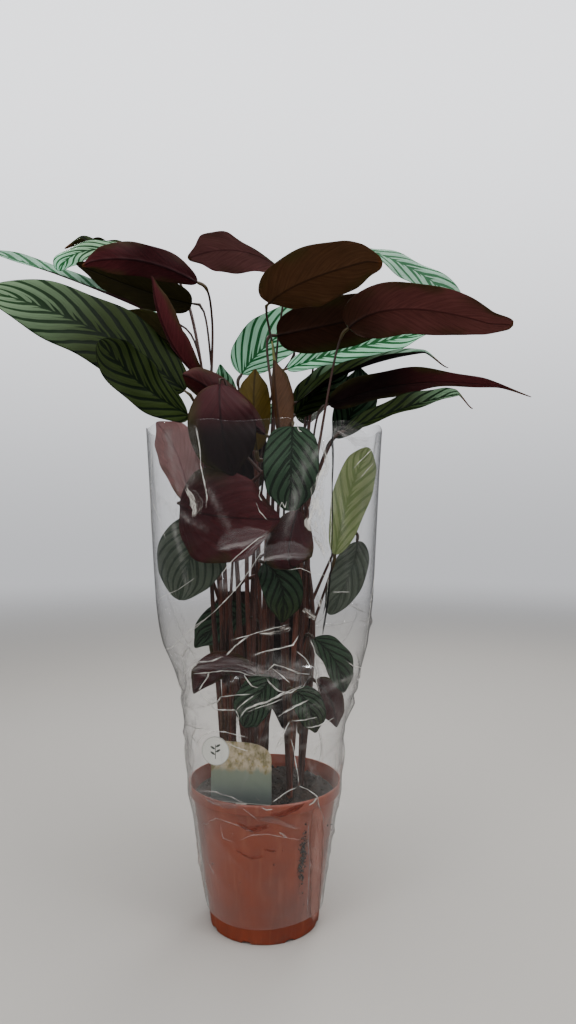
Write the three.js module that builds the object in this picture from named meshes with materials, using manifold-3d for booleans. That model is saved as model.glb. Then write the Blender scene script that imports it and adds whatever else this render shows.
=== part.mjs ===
// A potted never never plant: a clump of leafy canes in a nursery pot of soil, inside a clear film sleeve.
// Millimetres, +Z up. The origin is the middle of the pot's underside, and -Y is the front.
import * as THREE from 'three';
import { mergeVertices } from 'three/addons/utils/BufferGeometryUtils.js';
import Module from 'manifold-3d';

const wasm = await Module();
wasm.setup();

// Driving sizes
const gap = 0.3;
const around = 32;
const potHeight = 191;
const potFoot = 74;
const potShoulder = 98;
const rimRadius = 105;
const rimHeight = 15;
const potWall = 2;
const soilTop = 177;
const holeDepth = 60;
const caneRadius = 4;
const caneTop = 2.6;
const stalkRadius = 1.6;
const pulvinusRadius = 2.3;
const sheathRadius = 2.9;
const bladeThickness = 0.8;
const usualPoint = 0.5;
const usualFullness = 0.5;
const broadHalf = 40;
const filmThickness = 0.6;
const cardThickness = 1;
const cardWidth = 80;
const cardHeight = 86;
const cardCentre = [-28, -79];
const cardTurn = -0.22;
const badgeRadius = 18.5;
const stakeWidth = 14;
const stakeDepth = 40;

// Materials, one colour for each kind of surface
const looks = {
  pot: { color: 0xb0532f, roughness: 0.45, metalness: 0 },
  soil: { color: 0x2e2019, roughness: 0.95, metalness: 0 },
  cane: { color: 0x4a241f, roughness: 0.5, metalness: 0 },
  leaf: { color: 0x4f7a5c, roughness: 0.45, metalness: 0 },
  spear: { color: 0x8f9a4a, roughness: 0.5, metalness: 0 },
  film: { color: 0xe8ecee, roughness: 0.08, metalness: 0 },
  card: { color: 0xe9e7d8, roughness: 0.4, metalness: 0 },
};

const group = new THREE.Group();

function addNode(name, geometry, look) {
  const mesh = new THREE.Mesh(geometry, new THREE.MeshStandardMaterial(looks[look]));
  mesh.name = name;
  group.add(mesh);
}

function toSolid(geometry) {
  const bare = geometry.clone();
  bare.deleteAttribute('normal');
  bare.deleteAttribute('uv');
  const merged = mergeVertices(bare, 1e-4);
  const vertProperties = new Float32Array(merged.attributes.position.array);
  const triVerts = new Uint32Array(merged.index.array);
  return new wasm.Manifold(new wasm.Mesh({ numProp: 3, vertProperties, triVerts }));
}

function toGeometry(solid) {
  const mesh = solid.getMesh();
  const geometry = new THREE.BufferGeometry();
  geometry.setAttribute('position', new THREE.BufferAttribute(mesh.vertProperties, mesh.numProp));
  geometry.setIndex(new THREE.BufferAttribute(mesh.triVerts, 1));
  geometry.computeVertexNormals();
  return geometry;
}

function fromArrays(points, triangles) {
  const geometry = new THREE.BufferGeometry();
  const flat = points.flatMap((p) => [p.x, p.y, p.z]);
  geometry.setAttribute('position', new THREE.Float32BufferAttribute(flat, 3));
  geometry.setIndex(triangles);
  geometry.computeVertexNormals();
  return geometry;
}

function vec(list) {
  return new THREE.Vector3(list[0], list[1], list[2]);
}

function smooth(low, high, value) {
  const t = Math.min(1, Math.max(0, (value - low) / (high - low)));
  return t * t * (3 - 2 * t);
}

function between(table, key, column) {
  let row = 1;
  while (row < table.length - 1 && table[row][0] < key) row += 1;
  const low = table[row - 1];
  const high = table[row];
  const t = Math.min(1, Math.max(0, (key - low[0]) / (high[0] - low[0])));
  return low[column] + (high[column] - low[column]) * t;
}

// Leaf blades. The midrib is a parabola through base, mid and tip, face is the way that the upper side looks,
// half is the half width, fold lifts the two halves in a V, roll bends each half towards the upper side,
// twist turns the blade about its midrib towards the tip, and wave is the height of the margin's ripples.
const leaves = {
  leaf_left_broad: {
    base: [-101, -70, 713], mid: [-213, -91, 787], tip: [-338, -120, 828], half: 50,
    face: [-0.03, -0.8, 0.6], fold: 0.16, roll: [0, -0.4], twist: 0.08, wave: 3, point: 0,
  },
  leaf_left_low: {
    base: [-92, -108, 678], mid: [-140, -163, 707], tip: [-180, -198, 750], half: 36,
    face: [0.14, -0.83, 0.54], fold: 0.1, roll: [0.1, -0.1], twist: 0.05, wave: 2, point: 0.1,
  },
  leaf_left_edge: {
    base: [-155, 62, 843], mid: [-288, 66, 899], tip: [-420, 62, 942], half: 24,
    face: [0, -0.34, 0.94], fold: 0.2, roll: [0, 0.2], twist: -0.5, wave: 1,
  },
  leaf_left_far: {
    base: [-170, 90, 934], mid: [-247, 99, 949], tip: [-295, 85, 956], half: 31,
    face: [0.02, -0.25, 0.97], fold: 0.43, roll: [0.5, 0.3], twist: -0.14, wave: 3,
  },
  leaf_left_curled: {
    base: [-165, 40, 928], mid: [-255, 36, 930], tip: [-288, 20, 896], half: 30,
    face: [-0.08, -0.72, 0.69], fold: 0.07, roll: [-0.2, -0.2], twist: 0.04, wave: 2, point: 0.2,
  },
  leaf_left_top: {
    base: [-87, -54, 858], mid: [-166, -46, 889], tip: [-246, -24, 892], half: 23,
    face: [-0.11, 0.78, 0.62], fold: 0.21, roll: [-0.1, 0.3], twist: 0.41, wave: 3,
  },
  leaf_left_dark: {
    base: [-102, 12, 848], mid: [-172, 3, 866], tip: [-259, -5, 898], half: 40,
    face: [0.06, 0.47, 0.88], fold: 0.18, roll: [-0.2, -0.3], twist: -0.16, wave: 2, full: 0.42,
  },
  leaf_left_young: {
    base: [-83, -47, 733], mid: [-122, -71, 783], tip: [-141, -87, 856], half: 22,
    face: [0.66, 0.69, 0.3], fold: 0.35, roll: [0.5, 0.5], twist: 0.03, wave: 1,
  },
  leaf_left_behind: {
    base: [-101, 0, 766], mid: [-157, -10, 803], tip: [-216, -20, 806], half: 30,
    face: [0, 0.6, 0.8], fold: 0.2, roll: [0.1, 0.1], twist: 0, wave: 2,
  },
  leaf_centre_arch: {
    base: [2, -75, 657], mid: [-59, -91, 707], tip: [-99, -105, 728], half: 24,
    face: [0.1, 0.93, 0.35], fold: 0.21, roll: [0.7, 0.9], twist: 0.18, wave: 2,
  },
  leaf_centre_dome: {
    base: [-53, -102, 716], mid: [-49, -120, 662], tip: [-36, -108, 602], half: 42,
    face: [-0.05, 0.98, 0.1], fold: -0.1, roll: [0.3, 0.3], twist: 0, wave: 2,
  },
  leaf_centre_brown: {
    base: [24, -62, 650], mid: [17, -50, 705], tip: [13, -34, 760], half: 24,
    face: [0.5, 0.85, 0.1], fold: 0.3, roll: [1.0, 1.0], twist: 0, wave: 1,
  },
  leaf_centre_green: {
    base: [-38, 10, 657], mid: [-52, 10, 706], tip: [-62, 5, 762], half: 20,
    face: [0, -0.95, 0.2], fold: 0.3, roll: [0.3, 0.3], twist: 0, wave: 1,
  },
  leaf_centre_striped: {
    base: [-36, 68, 759], mid: [7, 81, 810], tip: [85, 98, 865], half: 44,
    face: [-0.21, -0.9, 0.39], fold: 0.13, roll: [0, 0.4], twist: -0.1, wave: 2,
  },
  leaf_top_back: {
    base: [16, 42, 911], mid: [-46, 74, 944], tip: [-113, 88, 938], half: 44,
    face: [-0.05, 0.32, 0.94], fold: 0.06, roll: [-0.4, -0.4], twist: 0.49, wave: 2,
  },
  leaf_top_centre: {
    base: [7, -20, 840], mid: [58, -71, 856], tip: [151, -95, 877], half: 41,
    face: [-0.22, 0.85, 0.48], fold: 0.12, roll: [-0.1, 0], twist: 0.25, wave: 3, full: 0.4, point: 0.3,
  },
  leaf_right_dark: {
    base: [17, 10, 803], mid: [93, 0, 816], tip: [183, -10, 833], half: 38,
    face: [0, 0.9, 0.44], fold: 0.11, roll: [-0.3, 0], twist: 0.09, wave: 2, full: 0.36, point: 0.3,
  },
  leaf_right_long: {
    base: [112, -50, 799], mid: [187, -74, 818], tip: [312, -92, 786], half: 38,
    face: [0.38, 0.7, 0.61], fold: 0.11, roll: [-0.2, -0.3], twist: 0.56, wave: 2, full: 0.34, point: 0.25,
  },
  leaf_right_far: {
    base: [127, 65, 946], mid: [218, 75, 915], tip: [297, 65, 850], half: 34,
    face: [-0.09, -0.71, 0.7], fold: 0.02, roll: [0.1, -0.4], twist: 0.26, wave: 3,
  },
  leaf_right_striped: {
    base: [31, 46, 763], mid: [122, 34, 789], tip: [234, 36, 814], half: 34,
    face: [0.09, -0.8, 0.6], fold: 0.13, roll: [0.3, -0.1], twist: 0.13, wave: 2,
  },
  leaf_right_thin: {
    base: [44, -5, 708], mid: [131, -21, 753], tip: [233, -50, 769], half: 33,
    face: [0.01, -0.36, 0.93], fold: 0.18, roll: [0.3, 0.4], twist: -0.14, wave: 2, taper: 0.4,
  },
  leaf_right_black: {
    base: [87, -30, 701], mid: [206, -43, 729], tip: [333, -60, 715], half: 42,
    face: [-0.01, 0.31, 0.95], fold: 0.15, roll: [0.3, -0.4], twist: 0.56, wave: 3, taper: 0.62,
  },
  leaf_right_low: {
    base: [106, -60, 662], mid: [188, -81, 692], tip: [260, -88, 708], half: 25,
    face: [-0.05, -0.62, 0.78], fold: 0.2, roll: [0.3, 0.2], twist: -0.07, wave: 2, taper: 0.25,
  },
  leaf_right_inner: {
    base: [99, 42, 664], mid: [128, 37, 711], tip: [134, 42, 765], half: 30,
    face: [0.16, -0.59, 0.79], fold: -0.04, roll: [0.3, 0.2], twist: 0.03, wave: 2,
  },
  leaf_sleeve_striped: {
    base: [38, -64, 668], mid: [36, -106, 618], tip: [35, -112, 558], half: 35,
    face: [-0.04, -1, 0.08], fold: 0.05, roll: [0.1, 0.1], twist: -0.03, wave: 2, point: 0.35, full: 0.36,
  },
  leaf_sleeve_pink: {
    base: [-101, -30, 568], mid: [-113, -45, 630], tip: [-143, -40, 676], half: 33,
    face: [0.22, 0.97, 0.06], fold: 0.09, roll: [0.4, 0.5], twist: -0.05, wave: 2,
  },
  leaf_sleeve_maroon: {
    base: [-109, -54, 567], mid: [-62, -99, 553], tip: [22, -92, 548], half: 61,
    face: [-0.01, 0.97, 0.26], fold: -0.12, roll: [0.6, -0.1], twist: -0.09, wave: 3,
  },
  leaf_sleeve_wine: {
    base: [44, -60, 559], mid: [33, -89, 507], tip: [40, -82, 487], half: 32,
    face: [0.16, 0.94, 0.31], fold: -0.18, roll: [0.3, 0.4], twist: 0.18, wave: 2,
  },
  leaf_sleeve_pale: {
    base: [97, 0, 498], mid: [118, -2, 584], tip: [143, -8, 645], half: 29,
    face: [0.36, -0.86, 0.37], fold: 0.11, roll: [0.3, 0.5], twist: -0.24, wave: 2, point: 0.25,
  },
  leaf_sleeve_right: {
    base: [130, 30, 515], mid: [118, 10, 470], tip: [88, 0, 416], half: 26,
    face: [-0.41, -0.91, 0.1], fold: 0.12, roll: [0.2, 0.2], twist: -0.07, wave: 2, point: 0.15,
  },
  leaf_sleeve_left: {
    base: [-72, -46, 531], mid: [-93, -54, 504], tip: [-111, -50, 441], half: 47,
    face: [-0.05, -0.99, 0.14], fold: -0.1, roll: [0.2, 0.1], twist: 0.18, wave: 2, point: 0.2,
  },
  leaf_sleeve_inner: {
    base: [0, -30, 489], mid: [23, -59, 462], tip: [24, -70, 414], half: 28,
    face: [0.01, -0.93, 0.37], fold: 0.11, roll: [0.4, 0.1], twist: 0.04, wave: 2,
  },
  leaf_sleeve_low_left: {
    base: [-18, -62, 340], mid: [-54, -80, 357], tip: [-90, -66, 322], half: 25,
    face: [0, 0.8, 0.6], fold: 0.2, roll: [0.2, 0.2], twist: 0, wave: 1,
  },
  leaf_sleeve_low_right: {
    base: [66, -34, 388], mid: [93, -52, 362], tip: [106, -44, 318], half: 24,
    face: [0.3, -0.7, 0.6], fold: 0.2, roll: [0.2, 0.2], twist: 0, wave: 2,
  },
  leaf_back_left: {
    base: [-84, 112, 720], mid: [-140, 165, 778], tip: [-210, 205, 768], half: 43,
    face: [-0.3, 0.3, 0.9], fold: 0.15, roll: [0.2, 0.2], twist: 0, wave: 3,
  },
  leaf_back_right: {
    base: [60, 105, 690], mid: [95, 165, 735], tip: [140, 225, 725], half: 42,
    face: [0.2, 0.4, 0.9], fold: 0.15, roll: [0.2, 0.2], twist: 0, wave: 3,
  },
  leaf_back_tall: {
    base: [42, 95, 800], mid: [55, 150, 845], tip: [68, 222, 838], half: 42,
    face: [0, 0.3, 0.95], fold: 0.15, roll: [0.2, 0.2], twist: 0, wave: 3,
  },
  leaf_back_low: {
    base: [-29, 92, 698], mid: [-35, 112, 640], tip: [-35, 106, 576], half: 37,
    face: [0, 1, 0.1], fold: 0.1, roll: [0.3, 0.3], twist: 0, wave: 2,
  },
  leaf_centre_olive: {
    base: [-10, -25, 640], mid: [-14, -29, 697], tip: [-12, -23, 750], half: 24,
    face: [0, 0.97, 0.2], fold: 0.2, roll: [0.3, 0.3], twist: 0, wave: 1,
  },
  leaf_centre_right: {
    base: [42, 15, 693], mid: [75, 9, 726], tip: [118, 5, 757], half: 28,
    face: [0, -0.85, 0.5], fold: 0.15, roll: [0.1, 0.1], twist: 0, wave: 2,
  },
  leaf_sleeve_low_front: {
    base: [12, -68, 344], mid: [-8, -88, 318], tip: [-24, -86, 284], half: 27,
    face: [-0.2, -0.85, 0.5], fold: 0.2, roll: [0.3, 0.3], twist: 0, wave: 2,
  },
  leaf_back_centre: {
    base: [-4, 104, 690], mid: [-4, 160, 728], tip: [-6, 228, 700], half: 43,
    face: [0, 0.4, 0.9], fold: 0.12, roll: [-0.2, -0.2], twist: 0, wave: 3,
  },
  leaf_back_low_left: {
    base: [-40, 74, 440], mid: [-44, 88, 372], tip: [-38, 80, 294], half: 43,
    face: [-0.2, 0.95, 0.1], fold: 0.1, roll: [0.2, 0.2], twist: 0, wave: 2, full: 0.36,
  },
  leaf_back_low_right: {
    base: [44, 84, 420], mid: [34, 88, 344], tip: [28, 74, 236], half: 37,
    face: [0.1, 0.98, 0.1], fold: 0.1, roll: [0.2, 0.2], twist: 0, wave: 2, full: 0.36,
  },
  leaf_low_green: {
    base: [-24, 50, 404], mid: [-62, 56, 398], tip: [-102, 44, 362], half: 28,
    face: [0, -0.95, 0.3], fold: 0.1, roll: [0.2, 0.2], twist: 0, wave: 1,
  },
  leaf_low_inner: {
    base: [42, -56, 322], mid: [58, -66, 306], tip: [68, -62, 270], half: 21,
    face: [0.2, -0.9, 0.3], fold: 0.2, roll: [0.2, 0.2], twist: 0, wave: 1,
  },
  leaf_low_maroon: {
    base: [70, -16, 326], mid: [88, -32, 308], tip: [97, -36, 270], half: 20,
    face: [-0.3, 0.85, 0.3], fold: 0.2, roll: [0.2, 0.2], twist: 0, wave: 1,
  },
};

// Half width along the blade as a share of the widest: an ellipse with a short point, blunt where point is 0,
// squarer where full is below a half, and narrower towards the tip by the share in taper.
function outline(leaf, t) {
  const round = Math.max(0, 4 * t * (1 - t)) ** (leaf.full ?? usualFullness);
  const pointed = 1 - (leaf.point ?? usualPoint) * smooth(0.8, 1, t);
  return round * pointed * (1 - (leaf.taper ?? 0) * t);
}

function midrib(leaf, t) {
  const base = vec(leaf.base);
  const mid = vec(leaf.mid);
  const tip = vec(leaf.tip);
  const control = mid.clone().multiplyScalar(2).addScaledVector(base, -0.5).addScaledVector(tip, -0.5);
  return base.multiplyScalar((1 - t) * (1 - t))
    .addScaledVector(control, 2 * t * (1 - t))
    .addScaledVector(tip, t * t);
}

function heading(leaf, t) {
  return midrib(leaf, t + 0.001).sub(midrib(leaf, t - 0.001)).normalize();
}

// A point of the blade's middle surface, t along it from 0 to 1 and s across it from -1 to 1.
function bladePoint(leaf, t, s) {
  const ahead = heading(leaf, t);
  const up = vec(leaf.face);
  up.addScaledVector(ahead, -up.dot(ahead)).normalize();
  up.applyAxisAngle(ahead, leaf.twist * (t - 0.3));
  const side = new THREE.Vector3().crossVectors(up, ahead);
  const half = Math.max(leaf.half * outline(leaf, t), t < 0.5 ? 1.6 : 0.7);
  const bend = leaf.roll[s < 0 ? 0 : 1] + 1e-4;
  const reach = Math.abs(s);
  const out = (half * Math.sin(bend * reach)) / bend;
  const lift = (half * (1 - Math.cos(bend * reach))) / bend;
  const x = out * Math.cos(leaf.fold) - lift * Math.sin(leaf.fold);
  const ripple = Math.sin(16 * t + leaf.half + (s < 0 ? 2 : 0)) * leaf.wave * s * s * outline(leaf, t);
  const z = out * Math.sin(leaf.fold) + lift * Math.cos(leaf.fold) + ripple;
  return midrib(leaf, t).addScaledVector(side, s < 0 ? -x : x).addScaledVector(up, z);
}

// A closed thin blade: the middle surface shifted both ways along its normal, with the same triangles on both faces.
function blade(leaf, steps, across) {
  const upper = [];
  const lower = [];
  for (let i = 0; i <= steps; i += 1) {
    const even = i / steps;
    const t = 0.5 * even + 0.25 * (1 - Math.cos(Math.PI * even));
    for (let j = 0; j <= across; j += 1) {
      const s = (2 * j) / across - 1;
      const alongT = bladePoint(leaf, t + 0.01, s).sub(bladePoint(leaf, t - 0.01, s));
      const alongS = bladePoint(leaf, t, s + 0.02).sub(bladePoint(leaf, t, s - 0.02));
      const normal = new THREE.Vector3().crossVectors(alongT, alongS).normalize();
      const point = bladePoint(leaf, t, s);
      upper.push(point.clone().addScaledVector(normal, bladeThickness / 2));
      lower.push(point.clone().addScaledVector(normal, -bladeThickness / 2));
    }
  }
  const row = across + 1;
  const under = upper.length;
  const triangles = [];
  for (let i = 0; i < steps; i += 1) {
    for (let j = 0; j < across; j += 1) {
      const a = i * row + j;
      const b = a + 1;
      const c = a + row;
      const d = c + 1;
      const split = j < across / 2 ? [[a, c, d], [a, d, b]] : [[a, c, b], [b, c, d]];
      for (const [p, q, r] of split) {
        triangles.push(p, q, r, under + p, under + r, under + q);
      }
    }
  }
  const edge = [];
  for (let j = 0; j < across; j += 1) edge.push(j);
  for (let i = 0; i < steps; i += 1) edge.push(i * row + across);
  for (let j = across; j > 0; j -= 1) edge.push(steps * row + j);
  for (let i = steps; i > 0; i -= 1) edge.push(i * row);
  edge.forEach((p, k) => {
    const q = edge[(k + 1) % edge.length];
    triangles.push(p, q, under + p, q, under + q, under + p);
  });
  return fromArrays([...upper, ...lower], triangles);
}

for (const [name, leaf] of Object.entries(leaves)) {
  addNode(name, blade(leaf, leaf.half < broadHalf ? 7 : 9, 4), 'leaf');
}

// A closed tube along a smooth curve, with a radius for each place on it.
function limb(points, radiusAt, sides, steps) {
  const curve = new THREE.CatmullRomCurve3(points, false, 'centripetal');
  const frames = curve.computeFrenetFrames(steps, false);
  const ring = [];
  const triangles = [];
  for (let i = 0; i <= steps; i += 1) {
    const centre = curve.getPointAt(i / steps);
    const radius = radiusAt(i / steps);
    for (let k = 0; k < sides; k += 1) {
      const angle = (2 * Math.PI * k) / sides;
      ring.push(centre.clone()
        .addScaledVector(frames.normals[i], radius * Math.cos(angle))
        .addScaledVector(frames.binormals[i], radius * Math.sin(angle)));
    }
  }
  for (let i = 0; i < steps; i += 1) {
    for (let k = 0; k < sides; k += 1) {
      const a = i * sides + k;
      const b = i * sides + ((k + 1) % sides);
      triangles.push(a, b, a + sides, b, b + sides, a + sides);
    }
  }
  for (let k = 1; k < sides - 1; k += 1) {
    triangles.push(0, k + 1, k);
    triangles.push(steps * sides, steps * sides + k, steps * sides + k + 1);
  }
  return fromArrays(ring, triangles);
}

// Leafy shoots: each cane stands in the soil at foot and runs through the points of cane.
// A stalk leaves it at a share of its length and runs to its leaf, through any points that follow.
const shoots = {
  shoot_left_front: {
    foot: [-52, -22],
    cane: [[-54, -26, 330], [-62, -36, 520], [-74, -46, 640]],
    stalks: [
      ['leaf_left_broad', 0.12, [-68, -30, 420], [-80, -50, 640]],
      ['leaf_left_low', 0.8, [-76, -78, 640]],
      ['leaf_left_young', 0.97],
      ['leaf_sleeve_pink', 0.6],
      ['leaf_sleeve_left', 0.45, [-56, -38, 520]],
    ],
  },
  shoot_left_back: {
    foot: [-48, 28],
    cane: [[-52, 26, 340], [-62, 18, 560], [-78, 12, 720]],
    stalks: [
      ['leaf_left_edge', 0.12, [-66, 40, 450], [-106, 44, 810]],
      ['leaf_left_far', 0.85, [-120, 70, 880]],
      ['leaf_left_curled', 0.95, [-120, 34, 880]],
      ['leaf_left_top', 0.98, [-72, -8, 820]],
      ['leaf_left_dark', 0.14, [-38, 20, 450], [-70, 4, 720]],
      ['leaf_left_behind', 0.93],
    ],
  },
  shoot_centre_front: {
    foot: [-16, -44],
    cane: [[-18, -46, 330], [-22, -54, 480], [-20, -62, 600]],
    stalks: [
      ['leaf_centre_arch', 0.12, [-11, -64, 430], [0, -70, 600]],
      ['leaf_centre_dome', 0.15, [-32, -52, 420], [-38, -70, 600], [-48, -98, 724]],
      ['leaf_sleeve_maroon', 0.12, [-43, -50, 400], [-50, -58, 560]],
      ['leaf_centre_brown', 0.98],
      ['leaf_sleeve_low_front', 0.15],
      ['leaf_sleeve_low_left', 0.22],
    ],
  },
  shoot_centre: {
    foot: [-2, 2],
    cane: [[-2, 0, 340], [4, -4, 560], [14, -8, 720]],
    stalks: [
      ['leaf_top_centre', 0.12, [12, 10, 450], [22, 4, 720]],
      ['leaf_right_dark', 0.97],
      ['leaf_centre_green', 0.8],
      ['leaf_centre_olive', 0.85],
      ['leaf_sleeve_inner', 0.5, [2, -18, 500]],
    ],
  },
  shoot_back: {
    foot: [-6, 50],
    cane: [[-8, 54, 340], [-12, 62, 560], [-16, 66, 700]],
    stalks: [
      ['leaf_top_back', 0.14, [8, 50, 500], [16, 48, 790], [26, 40, 870]],
      ['leaf_centre_striped', 0.95],
      ['leaf_back_tall', 0.12, [-20, 70, 450], [10, 90, 740]],
      ['leaf_back_left', 0.9],
      ['leaf_back_low', 0.8, [-24, 84, 690]],
      ['leaf_back_low_left', 0.6],
      ['leaf_back_centre', 0.97],
      ['leaf_low_green', 0.25],
    ],
  },
  shoot_right_front: {
    foot: [34, -34],
    cane: [[38, -36, 340], [52, -40, 520], [68, -44, 620]],
    stalks: [
      ['leaf_right_long', 0.97],
      ['leaf_right_black', 0.14, [52, -26, 420]],
      ['leaf_right_low', 0.93],
      ['leaf_sleeve_striped', 0.12, [25, -34, 420], [30, -42, 620]],
      ['leaf_sleeve_wine', 0.7, [48, -50, 566]],
      ['leaf_sleeve_low_right', 0.3],
      ['leaf_low_inner', 0.1],
    ],
  },
  shoot_right: {
    foot: [50, 10],
    cane: [[54, 10, 330], [60, 10, 480], [54, 10, 620]],
    stalks: [
      ['leaf_right_striped', 0.12, [66, 2, 420]],
      ['leaf_right_thin', 0.96],
      ['leaf_centre_right', 0.9],
      ['leaf_sleeve_pale', 0.5],
      ['leaf_sleeve_right', 0.6, [118, 34, 530]],
      ['leaf_low_maroon', 0.1],
    ],
  },
  shoot_right_back: {
    foot: [36, 50],
    cane: [[40, 54, 340], [52, 62, 560], [66, 76, 720]],
    stalks: [
      ['leaf_right_far', 0.12, [32, 62, 450], [90, 74, 880]],
      ['leaf_right_inner', 0.7],
      ['leaf_back_right', 0.14, [52, 60, 430]],
      ['leaf_back_low_right', 0.6],
    ],
  },
};

for (const [name, shoot] of Object.entries(shoots)) {
  const [x, y] = shoot.foot;
  const points = [vec([x, y, soilTop - holeDepth + gap]), vec([x, y, soilTop + 20])];
  points.push(...shoot.cane.map(vec));
  const caneCurve = new THREE.CatmullRomCurve3(points, false, 'centripetal');
  let body = toSolid(limb(points, (t) => caneRadius + (caneTop - caneRadius) * t, 6, 10));
  for (const [leafName, share, ...via] of shoot.stalks) {
    const leaf = leaves[leafName];
    const ahead = heading(leaf, 0);
    const start = caneCurve.getPointAt(share);
    const end = vec(leaf.base).addScaledVector(ahead, -gap);
    const before = vec(leaf.base).addScaledVector(ahead, -12);
    const route = [start, ...via.map(vec), before, end];
    const radius = (t) => {
      if (t > 0.92) return pulvinusRadius;
      return share < 0.2 ? stalkRadius + (sheathRadius - stalkRadius) * (1 - smooth(0.25, 0.7, t)) : stalkRadius;
    };
    body = body.add(toSolid(limb(route, radius, 5, via.length > 0 ? 7 : 5)));
  }
  addNode(name, toGeometry(body), 'cane');
}

// New spear: a rolled young leaf that stands from the middle of the clump.
const spear = [vec([14.2, -8, 720.4]), vec([14, -10, 755]), vec([10, -14, 790])];
addNode('leaf_new_spear', limb(spear, (t) => 3 * (1 - t * t) + 0.6, 6, 6), 'spear');

// Pot: tapered wall with a turned-out rim, and a foot ring with notches and drain holes inside it.
const potProfile = [
  [0, 0], [50, 0], [53, 3], [66, 3], [68, 0], [potFoot, 0],
  [potShoulder, potHeight - rimHeight], [rimRadius - 1, potHeight - rimHeight], [rimRadius, potHeight - 3],
  [rimRadius - 1, potHeight], [rimRadius - 3, potHeight], [potShoulder - potWall + 1, potHeight - rimHeight + 3],
  [potShoulder - potWall, potHeight - rimHeight - 4], [potFoot - potWall, 6], [0, 6],
];

function lathe(profile) {
  const points = profile.map(([r, z]) => new THREE.Vector2(r, z));
  const geometry = new THREE.LatheGeometry(points, around);
  geometry.rotateX(Math.PI / 2);
  return geometry;
}

// The foot ring's notches and the drain holes lie at equal turns about the pot's axis.
function potSolid() {
  let body = toSolid(lathe(potProfile));
  for (let k = 0; k < 8; k += 1) {
    const notch = new THREE.BoxGeometry(10, 14, 5);
    notch.translate(0, potFoot - 4, 0);
    notch.rotateZ((2 * Math.PI * (k + 0.62)) / 8);
    const hole = new THREE.CylinderGeometry(4.5, 4.5, 12, 8);
    hole.rotateX(Math.PI / 2);
    hole.translate(0, 59.5, 5);
    hole.rotateZ((2 * Math.PI * (k + 0.1)) / 8);
    body = body.subtract(toSolid(notch)).subtract(toSolid(hole));
  }
  return body;
}

// Soil: fills the pot inside its wall, with a lumpy top and a plain hole for each cane and for the card's stake.
let seed = 7;
function draw() {
  seed = (seed * 16807) % 2147483647;
  return seed / 2147483647 - 0.5;
}

function soilSolid() {
  const wallAt = (z) => potFoot - potWall + ((potShoulder - potFoot) * (z - 6)) / (potHeight - rimHeight - 10);
  const low = 6 + gap;
  const profile = [[0, low], [wallAt(low) - 0.5, low], [wallAt(172) - 1.2, 172], [80, soilTop + 1]];
  profile.push([58, soilTop - 1], [32, soilTop + 2], [0, soilTop + 1]);
  const top = lathe(profile);
  const place = top.attributes.position;
  const lumps = new Map();
  for (let i = 0; i < place.count; i += 1) {
    const radius = Math.hypot(place.getX(i), place.getY(i));
    const key = `${Math.round(10 * place.getX(i))} ${Math.round(10 * place.getY(i))}`;
    if (place.getZ(i) < 174 || radius < 1) continue;
    if (!lumps.has(key)) lumps.set(key, 6 * draw());
    place.setZ(i, place.getZ(i) + lumps.get(key));
  }
  let body = toSolid(top);
  for (const shoot of Object.values(shoots)) {
    const hole = new THREE.CylinderGeometry(caneRadius + 0.5, caneRadius + 0.5, holeDepth + 20, 8);
    hole.rotateX(Math.PI / 2);
    hole.translate(shoot.foot[0], shoot.foot[1], soilTop + 20 - (holeDepth + 20) / 2);
    body = body.subtract(toSolid(hole));
  }
  const slot = new THREE.BoxGeometry(stakeWidth + 0.8, cardThickness + 0.8, 60);
  slot.applyMatrix4(cardPlace(soilTop - stakeDepth - gap + 30));
  return body.subtract(toSolid(slot));
}

// Care card: a plate with an arched top and a round lobe at its upper left, on a stake in the soil.
function cardPlace(height) {
  const turn = new THREE.Matrix4().makeRotationZ(cardTurn);
  return new THREE.Matrix4().makeTranslation(cardCentre[0], cardCentre[1], height).multiply(turn);
}

function cardSolid() {
  const face = new THREE.Shape();
  const half = cardWidth / 2;
  face.moveTo(-stakeWidth / 2, -stakeDepth);
  face.lineTo(stakeWidth / 2, -stakeDepth);
  face.lineTo(stakeWidth / 2, 8);
  face.lineTo(half - 4, 8);
  face.quadraticCurveTo(half, 8, half, 12);
  face.lineTo(half, cardHeight - 18);
  face.quadraticCurveTo(half - 3, cardHeight, 2, cardHeight);
  face.lineTo(-half + 10, cardHeight);
  face.lineTo(-half, cardHeight - 10);
  face.lineTo(-half, 12);
  face.quadraticCurveTo(-half, 8, -half + 4, 8);
  face.lineTo(-stakeWidth / 2, 8);
  const disc = new THREE.Shape();
  disc.absarc(-half + 6, cardHeight - badgeRadius + 5, badgeRadius, 0, 2 * Math.PI);
  const options = { depth: cardThickness, bevelEnabled: false, curveSegments: 5 };
  const discOptions = { depth: cardThickness, bevelEnabled: false, curveSegments: 20 };
  const plate = new THREE.ExtrudeGeometry(face, options);
  const badge = new THREE.ExtrudeGeometry(disc, discOptions);
  const stand = (geometry) => {
    geometry.translate(0, 0, -cardThickness / 2);
    geometry.rotateX(Math.PI / 2);
    return geometry.applyMatrix4(cardPlace(soilTop));
  };
  return toSolid(stand(plate)).add(toSolid(stand(badge)));
}

// Film sleeve: hugs the pot's rim, hangs free below it and widens to an oval above.
// Each row holds a height, the half width from left to right, the half depth, and how far its creases stand.
const sleeveRows = [
  [24, 80.4, 80.4, 1], [60, 85.4, 85.4, 1.2], [110, 93, 93, 1.5], [150, 99.6, 99.6, 2],
  [176, 105.9, 105.9, 0], [191, 106, 106, 0], [222, 107, 106, 3], [250, 108, 106, 5],
  [280, 113, 110, 7], [310, 121, 114, 8], [345, 132, 120, 8], [380, 141, 126, 7],
  [440, 148, 131, 5], [520, 152, 136, 4], [600, 156, 139, 3], [668, 160, 141, 2],
];

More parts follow.
